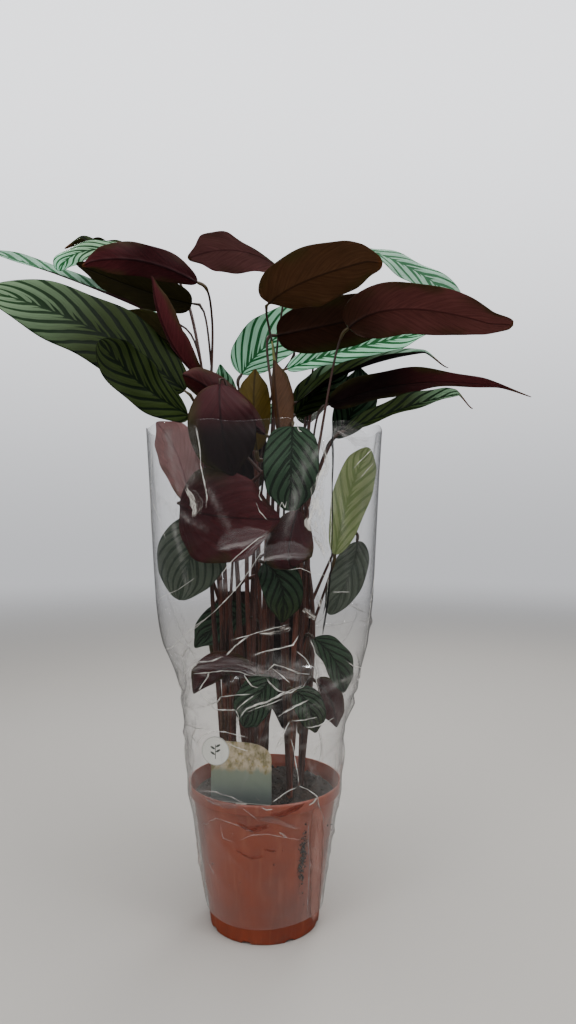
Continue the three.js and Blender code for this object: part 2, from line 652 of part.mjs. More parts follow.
function sleevePoint(row, k, inset) {
  const [height, wide, deep, crease] = sleeveRows[row];
  const angle = (2 * Math.PI * k) / around;
  const power = 1 - 0.16 * smooth(240, 420, height);
  const across = Math.sign(Math.cos(angle)) * Math.abs(Math.cos(angle)) ** power;
  const along = Math.sign(Math.sin(angle)) * Math.abs(Math.sin(angle)) ** power;
  const folded = crease * (Math.sin(3.1 * k + 1.7 * row) + Math.sin(5.3 * k - 2.3 * row)) * 0.5;
  const lift = crease * 0.8 * Math.sin(2.7 * k + 0.9 * row);
  const z = row === 0 || row === sleeveRows.length - 1 ? height + 2 * Math.sin(2.1 * k) : height + lift;
  return new THREE.Vector3((wide + folded - inset) * across, (deep + folded - inset) * along, z);
}

function sleeveGeometry() {
  const outer = [];
  const inner = [];
  const rows = sleeveRows.length;
  for (let i = 0; i < rows; i += 1) {
    for (let k = 0; k < around; k += 1) {
      outer.push(sleevePoint(i, k, 0));
      inner.push(sleevePoint(i, k, filmThickness));
    }
  }
  const inside = outer.length;
  const triangles = [];
  for (let i = 0; i < rows - 1; i += 1) {
    for (let k = 0; k < around; k += 1) {
      const a = i * around + k;
      const b = i * around + ((k + 1) % around);
      const c = a + around;
      const d = b + around;
      triangles.push(a, b, c, b, d, c);
      triangles.push(inside + a, inside + c, inside + b, inside + b, inside + c, inside + d);
    }
  }
  const last = (rows - 1) * around;
  for (let k = 0; k < around; k += 1) {
    const next = (k + 1) % around;
    triangles.push(k, inside + k, next, next, inside + k, inside + next);
    triangles.push(last + k, last + next, inside + last + k);
    triangles.push(last + next, inside + last + next, inside + last + k);
  }
  return fromArrays([...outer, ...inner], triangles);
}

addNode('pot', toGeometry(potSolid()), 'pot');
addNode('soil', toGeometry(soilSolid()), 'soil');
addNode('care_card', toGeometry(cardSolid()), 'card');
addNode('sleeve', sleeveGeometry(), 'film');

export default group;
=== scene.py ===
import math

import bpy
import numpy as np
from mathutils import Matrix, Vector


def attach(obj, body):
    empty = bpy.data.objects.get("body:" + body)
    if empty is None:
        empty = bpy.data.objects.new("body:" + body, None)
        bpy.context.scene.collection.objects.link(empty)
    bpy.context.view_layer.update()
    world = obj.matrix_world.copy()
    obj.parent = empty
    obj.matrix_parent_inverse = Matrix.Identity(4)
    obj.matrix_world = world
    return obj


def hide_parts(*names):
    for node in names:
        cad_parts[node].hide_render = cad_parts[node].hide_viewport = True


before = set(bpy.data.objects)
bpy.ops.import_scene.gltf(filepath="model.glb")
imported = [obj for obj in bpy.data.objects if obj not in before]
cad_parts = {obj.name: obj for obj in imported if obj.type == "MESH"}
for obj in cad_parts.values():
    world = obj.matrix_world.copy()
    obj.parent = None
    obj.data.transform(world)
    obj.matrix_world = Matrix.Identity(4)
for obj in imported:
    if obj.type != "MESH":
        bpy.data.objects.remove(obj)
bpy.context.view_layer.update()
print("frame loaded:", len(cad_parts), "nodes")

# Sizes below are in millimetres unless a note says otherwise. The pot stands at the origin, -Y is the front.
mm = 0.001
fullTurn = 2 * math.pi

cameraView = {"place": (0.032, -1.062, 0.557), "lens": 27.04, "sensor": 36.0, "picture": (576, 1024)}  # metres
cameraData = bpy.data.cameras.new("frontView")
cameraData.lens = cameraView["lens"]
cameraData.sensor_width = cameraView["sensor"]
camera = bpy.data.objects.new("frontView", cameraData)
camera.location = cameraView["place"]
camera.rotation_euler = (math.pi / 2, 0, 0)
bpy.context.scene.collection.objects.link(camera)
bpy.context.scene.camera = camera


def tone(red, green, blue):
    # a screen colour from 0 to 255, as linear light
    share = np.array([red, green, blue], float) / 255
    return np.where(share <= 0.04045, share / 12.92, ((share + 0.055) / 1.055) ** 2.4)


def blend(tones, t):
    # the first tone where t is 0, the second where it is 1
    return covered(tone(*tones[0]), tones[1], t)


def covered(colour, over, share):
    return colour * (1 - share) + tone(*over) * share


def ease(low, high, value):
    # 0 below low, 1 above high, and a smooth S between them
    t = np.clip((value - low) / (high - low), 0, 1)
    return t * t * (3 - 2 * t)


def unit(v):
    return v / (np.linalg.norm(v, axis=-1, keepdims=True) + 1e-12)


def rings(rows, sides):
    # quads between the neighbouring rings of a grid that closes on itself
    index = np.arange(rows * sides).reshape(rows, sides)
    after = np.roll(index, -1, 1)
    return index, after, np.stack([index[:-1], after[:-1], after[1:], index[1:]], -1).reshape(-1, 4)


def closedRings(rows, sides):
    # the same quads, and at each end a fan round a point of its own
    index, after, quads = rings(rows, sides)
    low, high = np.full(sides, index.size), np.full(sides, index.size + 1)
    fans = [np.stack([low, after[0], index[0]], 1), np.stack([high, index[-1], after[-1]], 1)]
    return quads, np.concatenate(fans)


def buildPiece(name, points, faceSets, materials, slots=None, flat=False):
    # points in millimetres, and arrays of faces that may have different numbers of corners
    mesh = bpy.data.meshes.new(name)
    mesh.vertices.add(len(points))
    mesh.vertices.foreach_set("co", (np.asarray(points, float) * mm).astype(np.float32).ravel())
    loops = np.concatenate([np.asarray(f).ravel() for f in faceSets]).astype(np.int32)
    corners = np.concatenate([np.full(len(f), np.asarray(f).shape[1]) for f in faceSets])
    mesh.loops.add(len(loops))
    mesh.loops.foreach_set("vertex_index", loops)
    mesh.polygons.add(len(corners))
    mesh.polygons.foreach_set("loop_start", (np.cumsum(corners) - corners).astype(np.int32))
    mesh.polygons.foreach_set("use_smooth", ~np.broadcast_to(flat, len(corners)))
    if slots is not None:
        mesh.polygons.foreach_set("material_index", np.asarray(slots, np.int32))
    mesh.update(calc_edges=True)
    mesh.validate()
    for material in materials:
        mesh.materials.append(material)
    piece = bpy.data.objects.new(name, mesh)
    bpy.context.scene.collection.objects.link(piece)
    return piece


def addLayers(piece, **named):
    # for each vertex a colour, where the name ends in Tone, or else a vector, which the materials read by name
    for name, values in named.items():
        values = np.asarray(values, np.float32)
        if name.endswith("Tone"):
            values = np.concatenate([values, np.ones((len(values), 1), np.float32)], 1)
            piece.data.attributes.new(name, "FLOAT_COLOR", "POINT").data.foreach_set("color", values.ravel())
        else:
            piece.data.attributes.new(name, "FLOAT_VECTOR", "POINT").data.foreach_set("vector", values.ravel())


# Shader helpers
def node(tree, kind, inputs=None, **settings):
    made = tree.nodes.new("ShaderNode" + kind)
    for key, value in settings.items():
        setattr(made, key, value)
    for key, value in (inputs or {}).items():
        wire(tree, made.inputs[key], value)
    return made


def wire(tree, socket, value):
    if isinstance(value, bpy.types.NodeSocket):
        tree.links.new(value, socket)
    elif isinstance(value, (tuple, list, np.ndarray)):
        value = tuple(float(v) for v in value)
        socket.default_value = value + (1.0,) if len(value) == 3 and socket.type == "RGBA" else value
    else:
        socket.default_value = value


def calc(tree, operation, *values):
    return node(tree, "Math", dict(enumerate(values)), operation=operation).outputs[0]


def times(tree, *values):
    # the product of two values, plus the third where there is one
    return calc(tree, "MULTIPLY" if len(values) == 2 else "MULTIPLY_ADD", *values)


def rest(tree, share):
    return calc(tree, "SUBTRACT", 1.0, share)


def soften(tree, value, low, high, start=0.0, end=1.0):
    # an S from start to end as value goes from low to high
    return node(tree, "MapRange", {0: value, 1: low, 2: high, 3: start, 4: end},
                interpolation_type="SMOOTHSTEP").outputs[0]


def mixTones(tree, share, first, second, way="MIX"):
    made = node(tree, "Mix", data_type="RGBA", blend_type=way)
    wire(tree, made.inputs[0], share)
    wire(tree, made.inputs[6], first)
    wire(tree, made.inputs[7], second)
    return made.outputs[2]


def noiseOf(tree, place, scale, detail=3.0, rough=0.5, **more):
    return node(tree, "TexNoise", {"Vector": place, "Scale": scale, "Detail": detail, "Roughness": rough,
                                   **more}).outputs[0]


def attribute(tree, name, output):
    return node(tree, "Attribute", attribute_name=name).outputs[output]


def partsOf(tree, vector):
    return node(tree, "SeparateXYZ", {0: vector}).outputs


def joined(tree, *parts):
    return node(tree, "CombineXYZ", dict(enumerate(parts))).outputs[0]


def grey(tree, value):
    return joined(tree, value, value, value)


def stretch(tree, place, scale):
    return node(tree, "Mapping", {"Vector": place, "Scale": scale}).outputs[0]


def newMaterial(name):
    material = bpy.data.materials.new(name)
    material.use_nodes = True
    tree = material.node_tree
    tree.nodes.clear()
    surface = node(tree, "BsdfPrincipled")
    end = node(tree, "OutputMaterial", {0: surface.outputs[0]})
    return material, tree, surface, end


def newGroup(name, inputs, outputs):
    group = bpy.data.node_groups.new(name, "ShaderNodeTree")
    for key, kind in inputs.items():
        group.interface.new_socket(key, in_out="INPUT", socket_type="NodeSocket" + kind)
    for key, kind in outputs.items():
        group.interface.new_socket(key, in_out="OUTPUT", socket_type="NodeSocket" + kind)
    return group, group.nodes.new("NodeGroupInput").outputs, group.nodes.new("NodeGroupOutput").inputs


def useGroup(tree, group, inputs):
    return node(tree, "Group", inputs, node_tree=group).outputs


def dress(tree, surface, colour, rough, mirror=0.5, height=None, relief=(0.0, 0.0)):
    # the surface's colour, roughness and mirror strength, and a relief: its depth in metres and its strength
    for name, value in (("Base Color", colour), ("Roughness", rough), ("Specular IOR Level", mirror)):
        wire(tree, surface.inputs[name], value)
    if height is not None:
        wire(tree, surface.inputs["Normal"], bump(tree, height, *relief))


def bump(tree, height, depth, strength):
    return node(tree, "Bump", {"Height": height, "Distance": depth, "Strength": strength}).outputs[0]


def objectPlace(tree):
    return node(tree, "TexCoord").outputs["Object"]


# Feather pattern of a prayer plant's blade, from its place along and across.
# Place is along 0 to 1, across -1 to 1 and the half width there in mm. Habit is slant, pairs and seed.
feather = {
    "lean": (1.5, 0.15),  # a side vein's run along the blade for its reach and for the square of it
    "offset": 0.42,  # how far the right side's veins lie past the left side's
    "wander": 0.05, "wanderSize": (4.0, 1.6, 9.0),
    "stripe": (0.45, -0.16, 0.7), "stripeChance": (0.82, 0.3), "soft": 0.05,
    "toothReach": (0.08, 0.28), "toothWidth": 0.34, "midrib": (0.9, 1.7), "rim": (0.5, 1.3),
}


def makeFeather():
    tree, get, put = newGroup("featherPattern", {"Place": "Vector", "Habit": "Vector"},
                              dict.fromkeys(("Stripe", "Fine", "Midrib", "Rim", "Quilt"), "Float"))
    along, across, half = partsOf(tree, get["Place"])
    slant, pairs, seed = partsOf(tree, get["Habit"])
    reach, rightSide = calc(tree, "ABSOLUTE", across), calc(tree, "GREATER_THAN", across, 0.0)
    sizes = zip((along, across, seed), feather["wanderSize"])
    near = joined(tree, *(times(tree, way, size) for way, size in sizes))
    wander = calc(tree, "SUBTRACT", noiseOf(tree, near, 1.0, 2.0), 0.5)
    # a side vein leaves the midrib at a slant and bends towards the tip: along - slant (lean reach + bend reach^2)
    lean = times(tree, times(tree, reach, feather["lean"][1], feather["lean"][0]), reach)
    vein = times(tree, wander, feather["wander"], times(tree, times(tree, lean, slant), -1.0, along))
    turns = times(tree, rightSide, feather["offset"], times(tree, vein, pairs))
    turns = calc(tree, "ADD", turns, times(tree, seed, 1.7, 20.0))
    away = times(tree, calc(tree, "ABSOLUTE", calc(tree, "SUBTRACT", calc(tree, "FRACT", turns), 0.5)), 2.0)
    chance = node(tree, "TexWhiteNoise", {0: joined(tree, calc(tree, "FLOOR", turns), rightSide, seed)}).outputs[0]
    base, loss, power = feather["stripe"]
    broad = times(tree, times(tree, calc(tree, "POWER", reach, power), loss, base),
                  times(tree, chance, feather["stripeChance"][1], feather["stripeChance"][0]))
    soft = feather["soft"]
    stripe = soften(tree, calc(tree, "SUBTRACT", away, broad), -soft, soft, 1.0, 0.0)
    # short teeth from the midrib between the long stripes
    toothReach = times(tree, chance, feather["toothReach"][1], feather["toothReach"][0])
    toothWidth = times(tree, rest(tree, calc(tree, "DIVIDE", reach, toothReach)), feather["toothWidth"])
    tooth = soften(tree, calc(tree, "SUBTRACT", rest(tree, away), toothWidth), -0.04, 0.04, 1.0, 0.0)
    tooth = times(tree, tooth, calc(tree, "LESS_THAN", reach, toothReach))
    midrib = soften(tree, times(tree, reach, half), *feather["midrib"], 1.0, 0.0)
    rim = soften(tree, times(tree, rest(tree, reach), half), *feather["rim"], 1.0, 0.0)
    fineAt = joined(tree, times(tree, turns, 7.0), times(tree, reach, 2.5), rightSide)
    for key, value in {"Stripe": calc(tree, "MAXIMUM", calc(tree, "MAXIMUM", stripe, tooth), midrib),
                       "Fine": noiseOf(tree, fineAt, 1.0, 2.0, 0.6), "Midrib": midrib, "Rim": rim,
                       "Quilt": calc(tree, "COSINE", times(tree, turns, fullTurn))}.items():
        wire(tree, put[key], value)
    return tree


def makeBlotches():
    # slow changes of shade over a surface, from its place on the object
    tree, get, put = newGroup("blotches", {"Tone": "Color", "Size": "Float", "Depth": "Float"}, {"Tone": "Color"})
    spread = noiseOf(tree, objectPlace(tree), get["Size"], 4.0, 0.6)
    lift = times(tree, calc(tree, "SUBTRACT", spread, 0.5), get["Depth"], 1.0)
    scaled = node(tree, "VectorMath", {0: get["Tone"], 1: grey(tree, lift)}, operation="MULTIPLY")
    wire(tree, put["Tone"], scaled.outputs[0])
    return tree


featherGroup, blotchGroup = makeFeather(), makeBlotches()


def blotched(tree, colour, size, depth):
    return useGroup(tree, blotchGroup, {"Tone": colour, "Size": size, "Depth": depth})[0]


# Leaves. The midrib is a parabola through base, mid and tip, face is the way that the striped side looks,
# half is the half width, fold lifts the halves in a V, roll bends each half towards the striped side,
# twist turns the blade towards its tip, and wave is the height of the margin's ripples. The outline is an ellipse,
# squarer where full is below a half, that narrows by taper and has a short point. top names the shades of the
# striped side at the base and at the tip, under those below, blend where the first gives way to the second,
# dry the withered share and hook where it bends to.
# painted shade: a blade whose top runs from shade at its base to a paler tone at its tip is darker towards its base
leafUsual = dict(roll=(0.2, 0.2), twist=0, wave=2, full=0.5, point=0.5, taper=0, top="shade", under="maroon",
                 blend=(0.45, 1.05), dry=0, hook=(0, 0, 0))
leafRows = {
    "left_broad": dict(base=(-101, -70, 713), mid=(-213, -91, 787), tip=(-338, -120, 828), half=50,
        face=(-0.03, -0.8, 0.6), fold=0.16, roll=(0, -0.4), twist=0.08, wave=3, point=0, top=("shade", "dusk"),
        dry=0.015),
    "left_low": dict(base=(-92, -108, 678), mid=(-140, -163, 707), tip=(-180, -198, 750), half=36,
        face=(0.14, -0.83, 0.54), fold=0.1, roll=(0.1, -0.1), twist=0.05, point=0.1),
    "left_edge": dict(base=(-155, 62, 843), mid=(-288, 66, 899), tip=(-420, 62, 942), half=24,
        face=(0, -0.34, 0.94), fold=0.2, roll=(0, 0.2), twist=-0.5, wave=1, top="silver"),
    "left_far": dict(base=(-170, 90, 934), mid=(-247, 99, 949), tip=(-295, 85, 956), half=31,
        face=(0.02, -0.25, 0.97), fold=0.43, roll=(0.5, 0.3), twist=-0.14, wave=3, under="olive", dry=0.05,
        hook=(-6, 0, -6)),
    "left_curled": dict(base=(-165, 40, 928), mid=(-255, 36, 930), tip=(-288, 20, 896), half=30,
        face=(-0.08, -0.72, 0.69), fold=0.07, roll=(-0.2, -0.2), twist=0.04, point=0.2, top=("mint", "bright")),
    "left_top": dict(base=(-87, -54, 858), mid=(-166, -46, 889), tip=(-246, -24, 892), half=23,
        face=(-0.11, 0.78, 0.62), fold=0.21, roll=(-0.1, 0.3), twist=0.41, wave=3, top=("mint", "bright"),
        under=("maroon", "rose"), dry=0.02, hook=(0, 0, -3)),
    "left_dark": dict(base=(-102, 12, 848), mid=(-172, 3, 866), tip=(-259, -5, 898), half=40,
        face=(0.06, 0.47, 0.88), fold=0.18, roll=(-0.2, -0.3), twist=-0.16, full=0.42, under="olive"),
    "left_young": dict(base=(-83, -47, 733), mid=(-122, -71, 783), tip=(-141, -87, 856), half=22,
        face=(0.66, 0.69, 0.3), fold=0.35, roll=(0.5, 0.5), twist=0.03, wave=1, top=("shade", "mint"),
        under="rose"),
    "left_behind": dict(base=(-101, 0, 766), mid=(-157, -10, 803), tip=(-216, -20, 806), half=30,
        face=(0, 0.6, 0.8), fold=0.2, roll=(0.1, 0.1), under="olive"),
    "centre_arch": dict(base=(2, -75, 657), mid=(-59, -91, 707), tip=(-99, -105, 728), half=24,
        face=(0.1, 0.93, 0.35), fold=0.21, roll=(0.7, 0.9), twist=0.18, under=("maroon", "cocoa")),
    # painted shadow: centre_dome's underside turns near black towards its tip, where it hangs in shade below the
    # film's top edge
    "centre_dome": dict(base=(-53, -102, 716), mid=(-49, -120, 662), tip=(-36, -108, 602), half=42,
        face=(-0.05, 0.98, 0.1), fold=-0.1, roll=(0.3, 0.3), under=("maroon", "black"), blend=(0.25, 0.62)),
    "centre_brown": dict(base=(24, -62, 650), mid=(17, -50, 705), tip=(13, -34, 760), half=24,
        face=(0.5, 0.85, 0.1), fold=0.3, roll=(1, 1), wave=1, under="bronze"),
    "centre_green": dict(base=(-38, 10, 657), mid=(-52, 10, 706), tip=(-62, 5, 762), half=20,
        face=(0, -0.95, 0.2), fold=0.3, roll=(0.3, 0.3), wave=1, top=("mint", "bright")),
    "centre_striped": dict(base=(-36, 68, 759), mid=(7, 81, 810), tip=(85, 98, 865), half=44,
        face=(-0.21, -0.9, 0.39), fold=0.13, roll=(0, 0.4), twist=-0.1, top="bright"),
    "top_back": dict(base=(16, 42, 911), mid=(-46, 74, 944), tip=(-113, 88, 938), half=44,
        face=(-0.05, 0.32, 0.94), fold=0.06, roll=(-0.4, -0.4), twist=0.49, top=("shade", "mint"), under="plum",
        dry=0.02, hook=(-5, 0, -2)),
    "top_centre": dict(base=(7, -20, 840), mid=(58, -71, 856), tip=(151, -95, 877), half=41,
        face=(-0.22, 0.85, 0.48), fold=0.12, roll=(-0.1, 0), twist=0.25, wave=3, full=0.4, point=0.3, top="mint",
        under="bronze", dry=0.02, hook=(0, 0, -6)),
    # painted shade: right_dark's underside and right_long's base are darker brown, the shaded left part of what
    # looks one leaf
    "right_dark": dict(base=(17, 10, 803), mid=(93, 0, 816), tip=(183, -10, 833), half=38, face=(0, 0.9, 0.44),
        fold=0.11, roll=(-0.3, 0), twist=0.09, full=0.36, point=0.3, top=("shade", "mint"), under="brown"),
    "right_long": dict(base=(112, -50, 799), mid=(187, -74, 818), tip=(312, -92, 786), half=38,
        face=(0.38, 0.7, 0.61), fold=0.11, roll=(-0.2, -0.3), twist=0.56, full=0.34, point=0.25, top="mint",
        under=("brown", "russet"), blend=(0.05, 0.6), dry=0.008, hook=(4, 0, 6)),
    "right_far": dict(base=(127, 65, 946), mid=(218, 75, 915), tip=(297, 65, 850), half=34,
        face=(-0.09, -0.71, 0.7), fold=0.02, roll=(0.1, -0.4), twist=0.26, wave=3, top="silver"),
    "right_striped": dict(base=(31, 46, 763), mid=(122, 34, 789), tip=(234, 36, 814), half=34,
        face=(0.09, -0.8, 0.6), fold=0.13, roll=(0.3, -0.1), twist=0.13, top="bright"),
    "right_thin": dict(base=(44, -5, 708), mid=(131, -21, 753), tip=(233, -50, 769), half=33,
        face=(0.01, -0.36, 0.93), fold=0.18, roll=(0.3, 0.4), twist=-0.14, taper=0.4, top=("shade", "silver"),
        under="black", dry=0.05, hook=(10, 0, -22)),
    "right_black": dict(base=(87, -30, 701), mid=(206, -43, 729), tip=(333, -60, 715), half=42,
        face=(-0.01, 0.31, 0.95), fold=0.15, roll=(0.3, -0.4), twist=0.56, wave=3, taper=0.62,
        top=("shade", "mint"), under=("black", "rose"), blend=(0.3, 0.75), dry=0.05, hook=(16, 0, -8)),
    "right_low": dict(base=(106, -60, 662), mid=(188, -81, 692), tip=(260, -88, 708), half=25,
        face=(-0.05, -0.62, 0.78), fold=0.2, roll=(0.3, 0.2), twist=-0.07, taper=0.25, top=("shade", "mint"),
        under="wine", dry=0.06, hook=(6, 0, -20)),
    "right_inner": dict(base=(99, 42, 664), mid=(128, 37, 711), tip=(134, 42, 765), half=30,
        face=(0.16, -0.59, 0.79), fold=-0.04, roll=(0.3, 0.2), twist=0.03, top="deep"),
    "sleeve_striped": dict(base=(38, -64, 668), mid=(36, -106, 618), tip=(35, -112, 558), half=35,
        face=(-0.04, -1, 0.08), fold=0.05, roll=(0.1, 0.1), twist=-0.03, full=0.36, point=0.35, top="deep"),
    "sleeve_pink": dict(base=(-101, -30, 568), mid=(-113, -45, 630), tip=(-143, -40, 676), half=33,
        face=(0.22, 0.97, 0.06), fold=0.09, roll=(0.4, 0.5), twist=-0.05, under="blush"),
    "sleeve_maroon": dict(base=(-109, -54, 567), mid=(-62, -99, 553), tip=(22, -92, 548), half=61,
        face=(-0.01, 0.97, 0.26), fold=-0.12, roll=(0.6, -0.1), twist=-0.09, wave=3, under=("wine", "rose")),
    "sleeve_wine": dict(base=(44, -60, 559), mid=(33, -89, 507), tip=(40, -82, 487), half=32,
        face=(0.16, 0.94, 0.31), fold=-0.18, roll=(0.3, 0.4), twist=0.18),
    "sleeve_pale": dict(base=(97, 0, 498), mid=(118, -2, 584), tip=(143, -8, 645), half=29,
        face=(0.36, -0.86, 0.37), fold=0.11, roll=(0.3, 0.5), twist=-0.24, point=0.25, top="washed",
        under="rose"),
    "sleeve_right": dict(base=(130, 30, 515), mid=(118, 10, 470), tip=(88, 0, 416), half=26,
        face=(-0.41, -0.91, 0.1), fold=0.12, twist=-0.07, point=0.15, top="misty", under="rose"),
    "sleeve_left": dict(base=(-72, -46, 531), mid=(-93, -54, 504), tip=(-111, -50, 441), half=47,
        face=(-0.05, -0.99, 0.14), fold=-0.1, roll=(0.2, 0.1), twist=0.18, point=0.2, top="foggy"),
    "sleeve_inner": dict(base=(0, -30, 489), mid=(23, -59, 462), tip=(24, -70, 414), half=28,
        face=(0.01, -0.93, 0.37), fold=0.11, roll=(0.4, 0.1), twist=0.04, top=("deep", "shade")),
    "sleeve_low_left": dict(base=(-18, -62, 340), mid=(-54, -80, 357), tip=(-90, -66, 322), half=25,
        face=(0, 0.8, 0.6), fold=0.2, wave=1, top="deep", under="wine"),
    "sleeve_low_right": dict(base=(66, -34, 388), mid=(93, -52, 362), tip=(106, -44, 318), half=24,
        face=(0.3, -0.7, 0.6), fold=0.2, top="deep"),
    "back_left": dict(base=(-84, 112, 720), mid=(-140, 165, 778), tip=(-210, 205, 768), half=43,
        face=(-0.3, 0.3, 0.9), fold=0.15, wave=3, top=("shade", "mint")),
    "back_right": dict(base=(60, 105, 690), mid=(95, 165, 735), tip=(140, 225, 725), half=42,
        face=(0.2, 0.4, 0.9), fold=0.15, wave=3, top=("shade", "mint")),
    "back_tall": dict(base=(42, 95, 800), mid=(55, 150, 845), tip=(68, 222, 838), half=42, face=(0, 0.3, 0.95),
        fold=0.15, wave=3, top=("mint", "bright")),
    "back_low": dict(base=(-29, 92, 698), mid=(-35, 112, 640), tip=(-35, 106, 576), half=37, face=(0, 1, 0.1),
        fold=0.1, roll=(0.3, 0.3), under="black"),
    "centre_olive": dict(base=(-10, -25, 640), mid=(-14, -29, 697), tip=(-12, -23, 750), half=24,
        face=(0, 0.97, 0.2), fold=0.2, roll=(0.3, 0.3), wave=1, under="mustard"),
    "centre_right": dict(base=(42, 15, 693), mid=(75, 9, 726), tip=(118, 5, 757), half=28, face=(0, -0.85, 0.5),
        fold=0.15, roll=(0.1, 0.1), top=("shade", "mint")),
    "sleeve_low_front": dict(base=(12, -68, 344), mid=(-8, -88, 318), tip=(-24, -86, 284), half=27,
        face=(-0.2, -0.85, 0.5), fold=0.2, roll=(0.3, 0.3), top="deep"),
    "back_centre": dict(base=(-4, 104, 690), mid=(-4, 160, 728), tip=(-6, 228, 700), half=43, face=(0, 0.4, 0.9),
        fold=0.12, roll=(-0.2, -0.2), wave=3, top="mint"),
    "back_low_left": dict(base=(-40, 74, 440), mid=(-44, 88, 372), tip=(-38, 80, 294), half=43,
        face=(-0.2, 0.95, 0.1), fold=0.1, full=0.36, under="brown"),
    "back_low_right": dict(base=(44, 84, 420), mid=(34, 88, 344), tip=(28, 74, 236), half=37,
        face=(0.1, 0.98, 0.1), fold=0.1, full=0.36, under="black"),
    "low_green": dict(base=(-24, 50, 404), mid=(-62, 56, 398), tip=(-102, 44, 362), half=28, face=(0, -0.95, 0.3),
        fold=0.1, wave=1, top="deep"),
    "low_inner": dict(base=(42, -56, 322), mid=(58, -66, 306), tip=(68, -62, 270), half=21, face=(0.2, -0.9, 0.3),
        fold=0.2, wave=1, top=("deep", "shade")),
    "low_maroon": dict(base=(70, -16, 326), mid=(88, -32, 308), tip=(97, -36, 270), half=20,
        face=(-0.3, 0.85, 0.3), fold=0.2, wave=1, top="deep", under="wine"),
}
leafForms = {name: {**leafUsual, **row} for name, row in leafRows.items()}

leafFinish = {
    "steps": 80, "across": 30, "thickness": 0.5, "quiltHeight": 0.32, "pairs": (3.4, 48),
    "groove": (0.7, 1.5), "ridge": (1.0, 1.3),  # the midrib's height and width above and below
    "least": (1.6, 0.7),  # half width at the foot and at the tip
    "roughTop": (0.48, 0.6), "roughUnder": (0.52, 0.62), "mirrorTop": 0.025, "mirrorUnder": 0.05,
    "reliefTop": (0.0007, 0.55), "reliefUnder": (0.0008, 0.6),
    "topTones": {  # pale ground, dark stripe
        "mint": ((116, 150, 118), (16, 46, 22)),
        "bright": ((138, 188, 158), (22, 80, 40)),
        "silver": ((130, 162, 142), (50, 90, 62)),
        "dusk": ((104, 128, 98), (20, 50, 20)),
        # painted shade: shade and deep are darker tones for blades that lie in shade
        "shade": ((38, 49, 20), (9, 19, 6)),
        "deep": ((40, 60, 42), (10, 24, 12)),
        # painted reflection: misty, foggy and washed carry the pale veil that the film in front of these blades
        # mirrors over them
        "misty": ((88, 96, 84), (68, 76, 66)),
        "foggy": ((78, 86, 74), (50, 60, 50)),
        "washed": ((140, 152, 104), (110, 128, 78)),
    },
    "underTones": {  # ground, veins
        "maroon": ((58, 22, 26), (38, 14, 18)),
        "brown": ((48, 26, 16), (32, 16, 11)),
        # painted light: plum is paler and greyer, as if lit with a sheen, for an underside that faces away from the
        # lamps
        "plum": ((128, 80, 82), (98, 58, 62)),
        "russet": ((100, 56, 54), (74, 38, 37)),
        "olive": ((46, 41, 18), (30, 27, 12)),
        "mustard": ((84, 68, 20), (58, 46, 14)),
        "bronze": ((76, 50, 31), (54, 35, 22)),
        "cocoa": ((64, 26, 24), (44, 17, 17)),
        # painted reflection: blush is maroon paled by the veil of the film that the blade presses against
        "blush": ((146, 106, 104), (122, 82, 84)),
        "rose": ((80, 32, 36), (56, 20, 24)),
        "wine": ((60, 20, 24), (42, 13, 17)),
        # painted shade: black is an underside that lies in deep shade
        "black": ((26, 12, 13), (16, 8, 9)),
    },
    "dryTone": (84, 50, 26), "marginTone": (48, 48, 18),
}


def outlineAt(leaf, t):
    # half width as a share of the widest place
    pointed = (1 - leaf["point"] * ease(0.8, 1, t)) * (1 - leaf["taper"] * t)
    return np.maximum(0, 4 * t * (1 - t)) ** leaf["full"] * pointed


def midribAt(leaf, t):
    # (1-t)^2 base + 2t(1-t) control + t^2 tip, where the control point makes it pass mid halfway
    base, mid, tip = (np.array(leaf[key], float) for key in ("base", "mid", "tip"))
    control = 2 * mid - 0.5 * base - 0.5 * tip
    t = t[..., None]
    return (1 - t) ** 2 * base + 2 * t * (1 - t) * control + t ** 2 * tip


def halfAt(leaf, t):
    return np.maximum(leaf["half"] * outlineAt(leaf, t), np.where(t < 0.5, *leafFinish["least"]))


def bladeAt(leaf, t, s):
    # the midrib, plus s along the rolled half blade, plus the fold's lift and the ripples of the margin
    ahead = unit(midribAt(leaf, t + 0.001) - midribAt(leaf, t - 0.001))
    face = np.array(leaf["face"], float)
    up = unit(face - (ahead @ face)[..., None] * ahead)
    turn = (leaf["twist"] * (t - 0.3))[..., None]
    up = up * np.cos(turn) + np.cross(ahead, up) * np.sin(turn)
    side = np.cross(up, ahead)
    half = halfAt(leaf, t)
    roll = np.where(s < 0, leaf["roll"][0], leaf["roll"][1]) + 1e-4
    reach = np.abs(s)
    out = half * np.sin(roll * reach) / roll
    lift = half * (1 - np.cos(roll * reach)) / roll
    x = out * math.cos(leaf["fold"]) - lift * math.sin(leaf["fold"])
    ripple = np.sin(16 * t + leaf["half"] + np.where(s < 0, 2, 0)) * leaf["wave"] * s * s * outlineAt(leaf, t)
    z = out * math.sin(leaf["fold"]) + lift * math.cos(leaf["fold"]) + ripple
    bend = ease(0.9, 1, t)[..., None] * np.array(leaf["hook"], float)
    return midribAt(leaf, t) + side * (np.sign(s) * x)[..., None] + up * z[..., None] + bend


def shellFaces(rows, columns):
    # quads of an upper and a lower grid, and the rim that joins them
    index = np.arange(rows * columns).reshape(rows, columns)
    a, b, c, d = index[:-1, :-1].ravel(), index[:-1, 1:].ravel(), index[1:, :-1].ravel(), index[1:, 1:].ravel()
    under = rows * columns
    edge = np.concatenate([index[0, :-1], index[:-1, -1], index[-1, :0:-1], index[:0:-1, 0]])
    after = np.roll(edge, -1)
    return (np.stack([a, c, d, b], 1), np.stack([a, b, d, c], 1) + under,
            np.stack([edge, after, after + under, edge + under], 1))


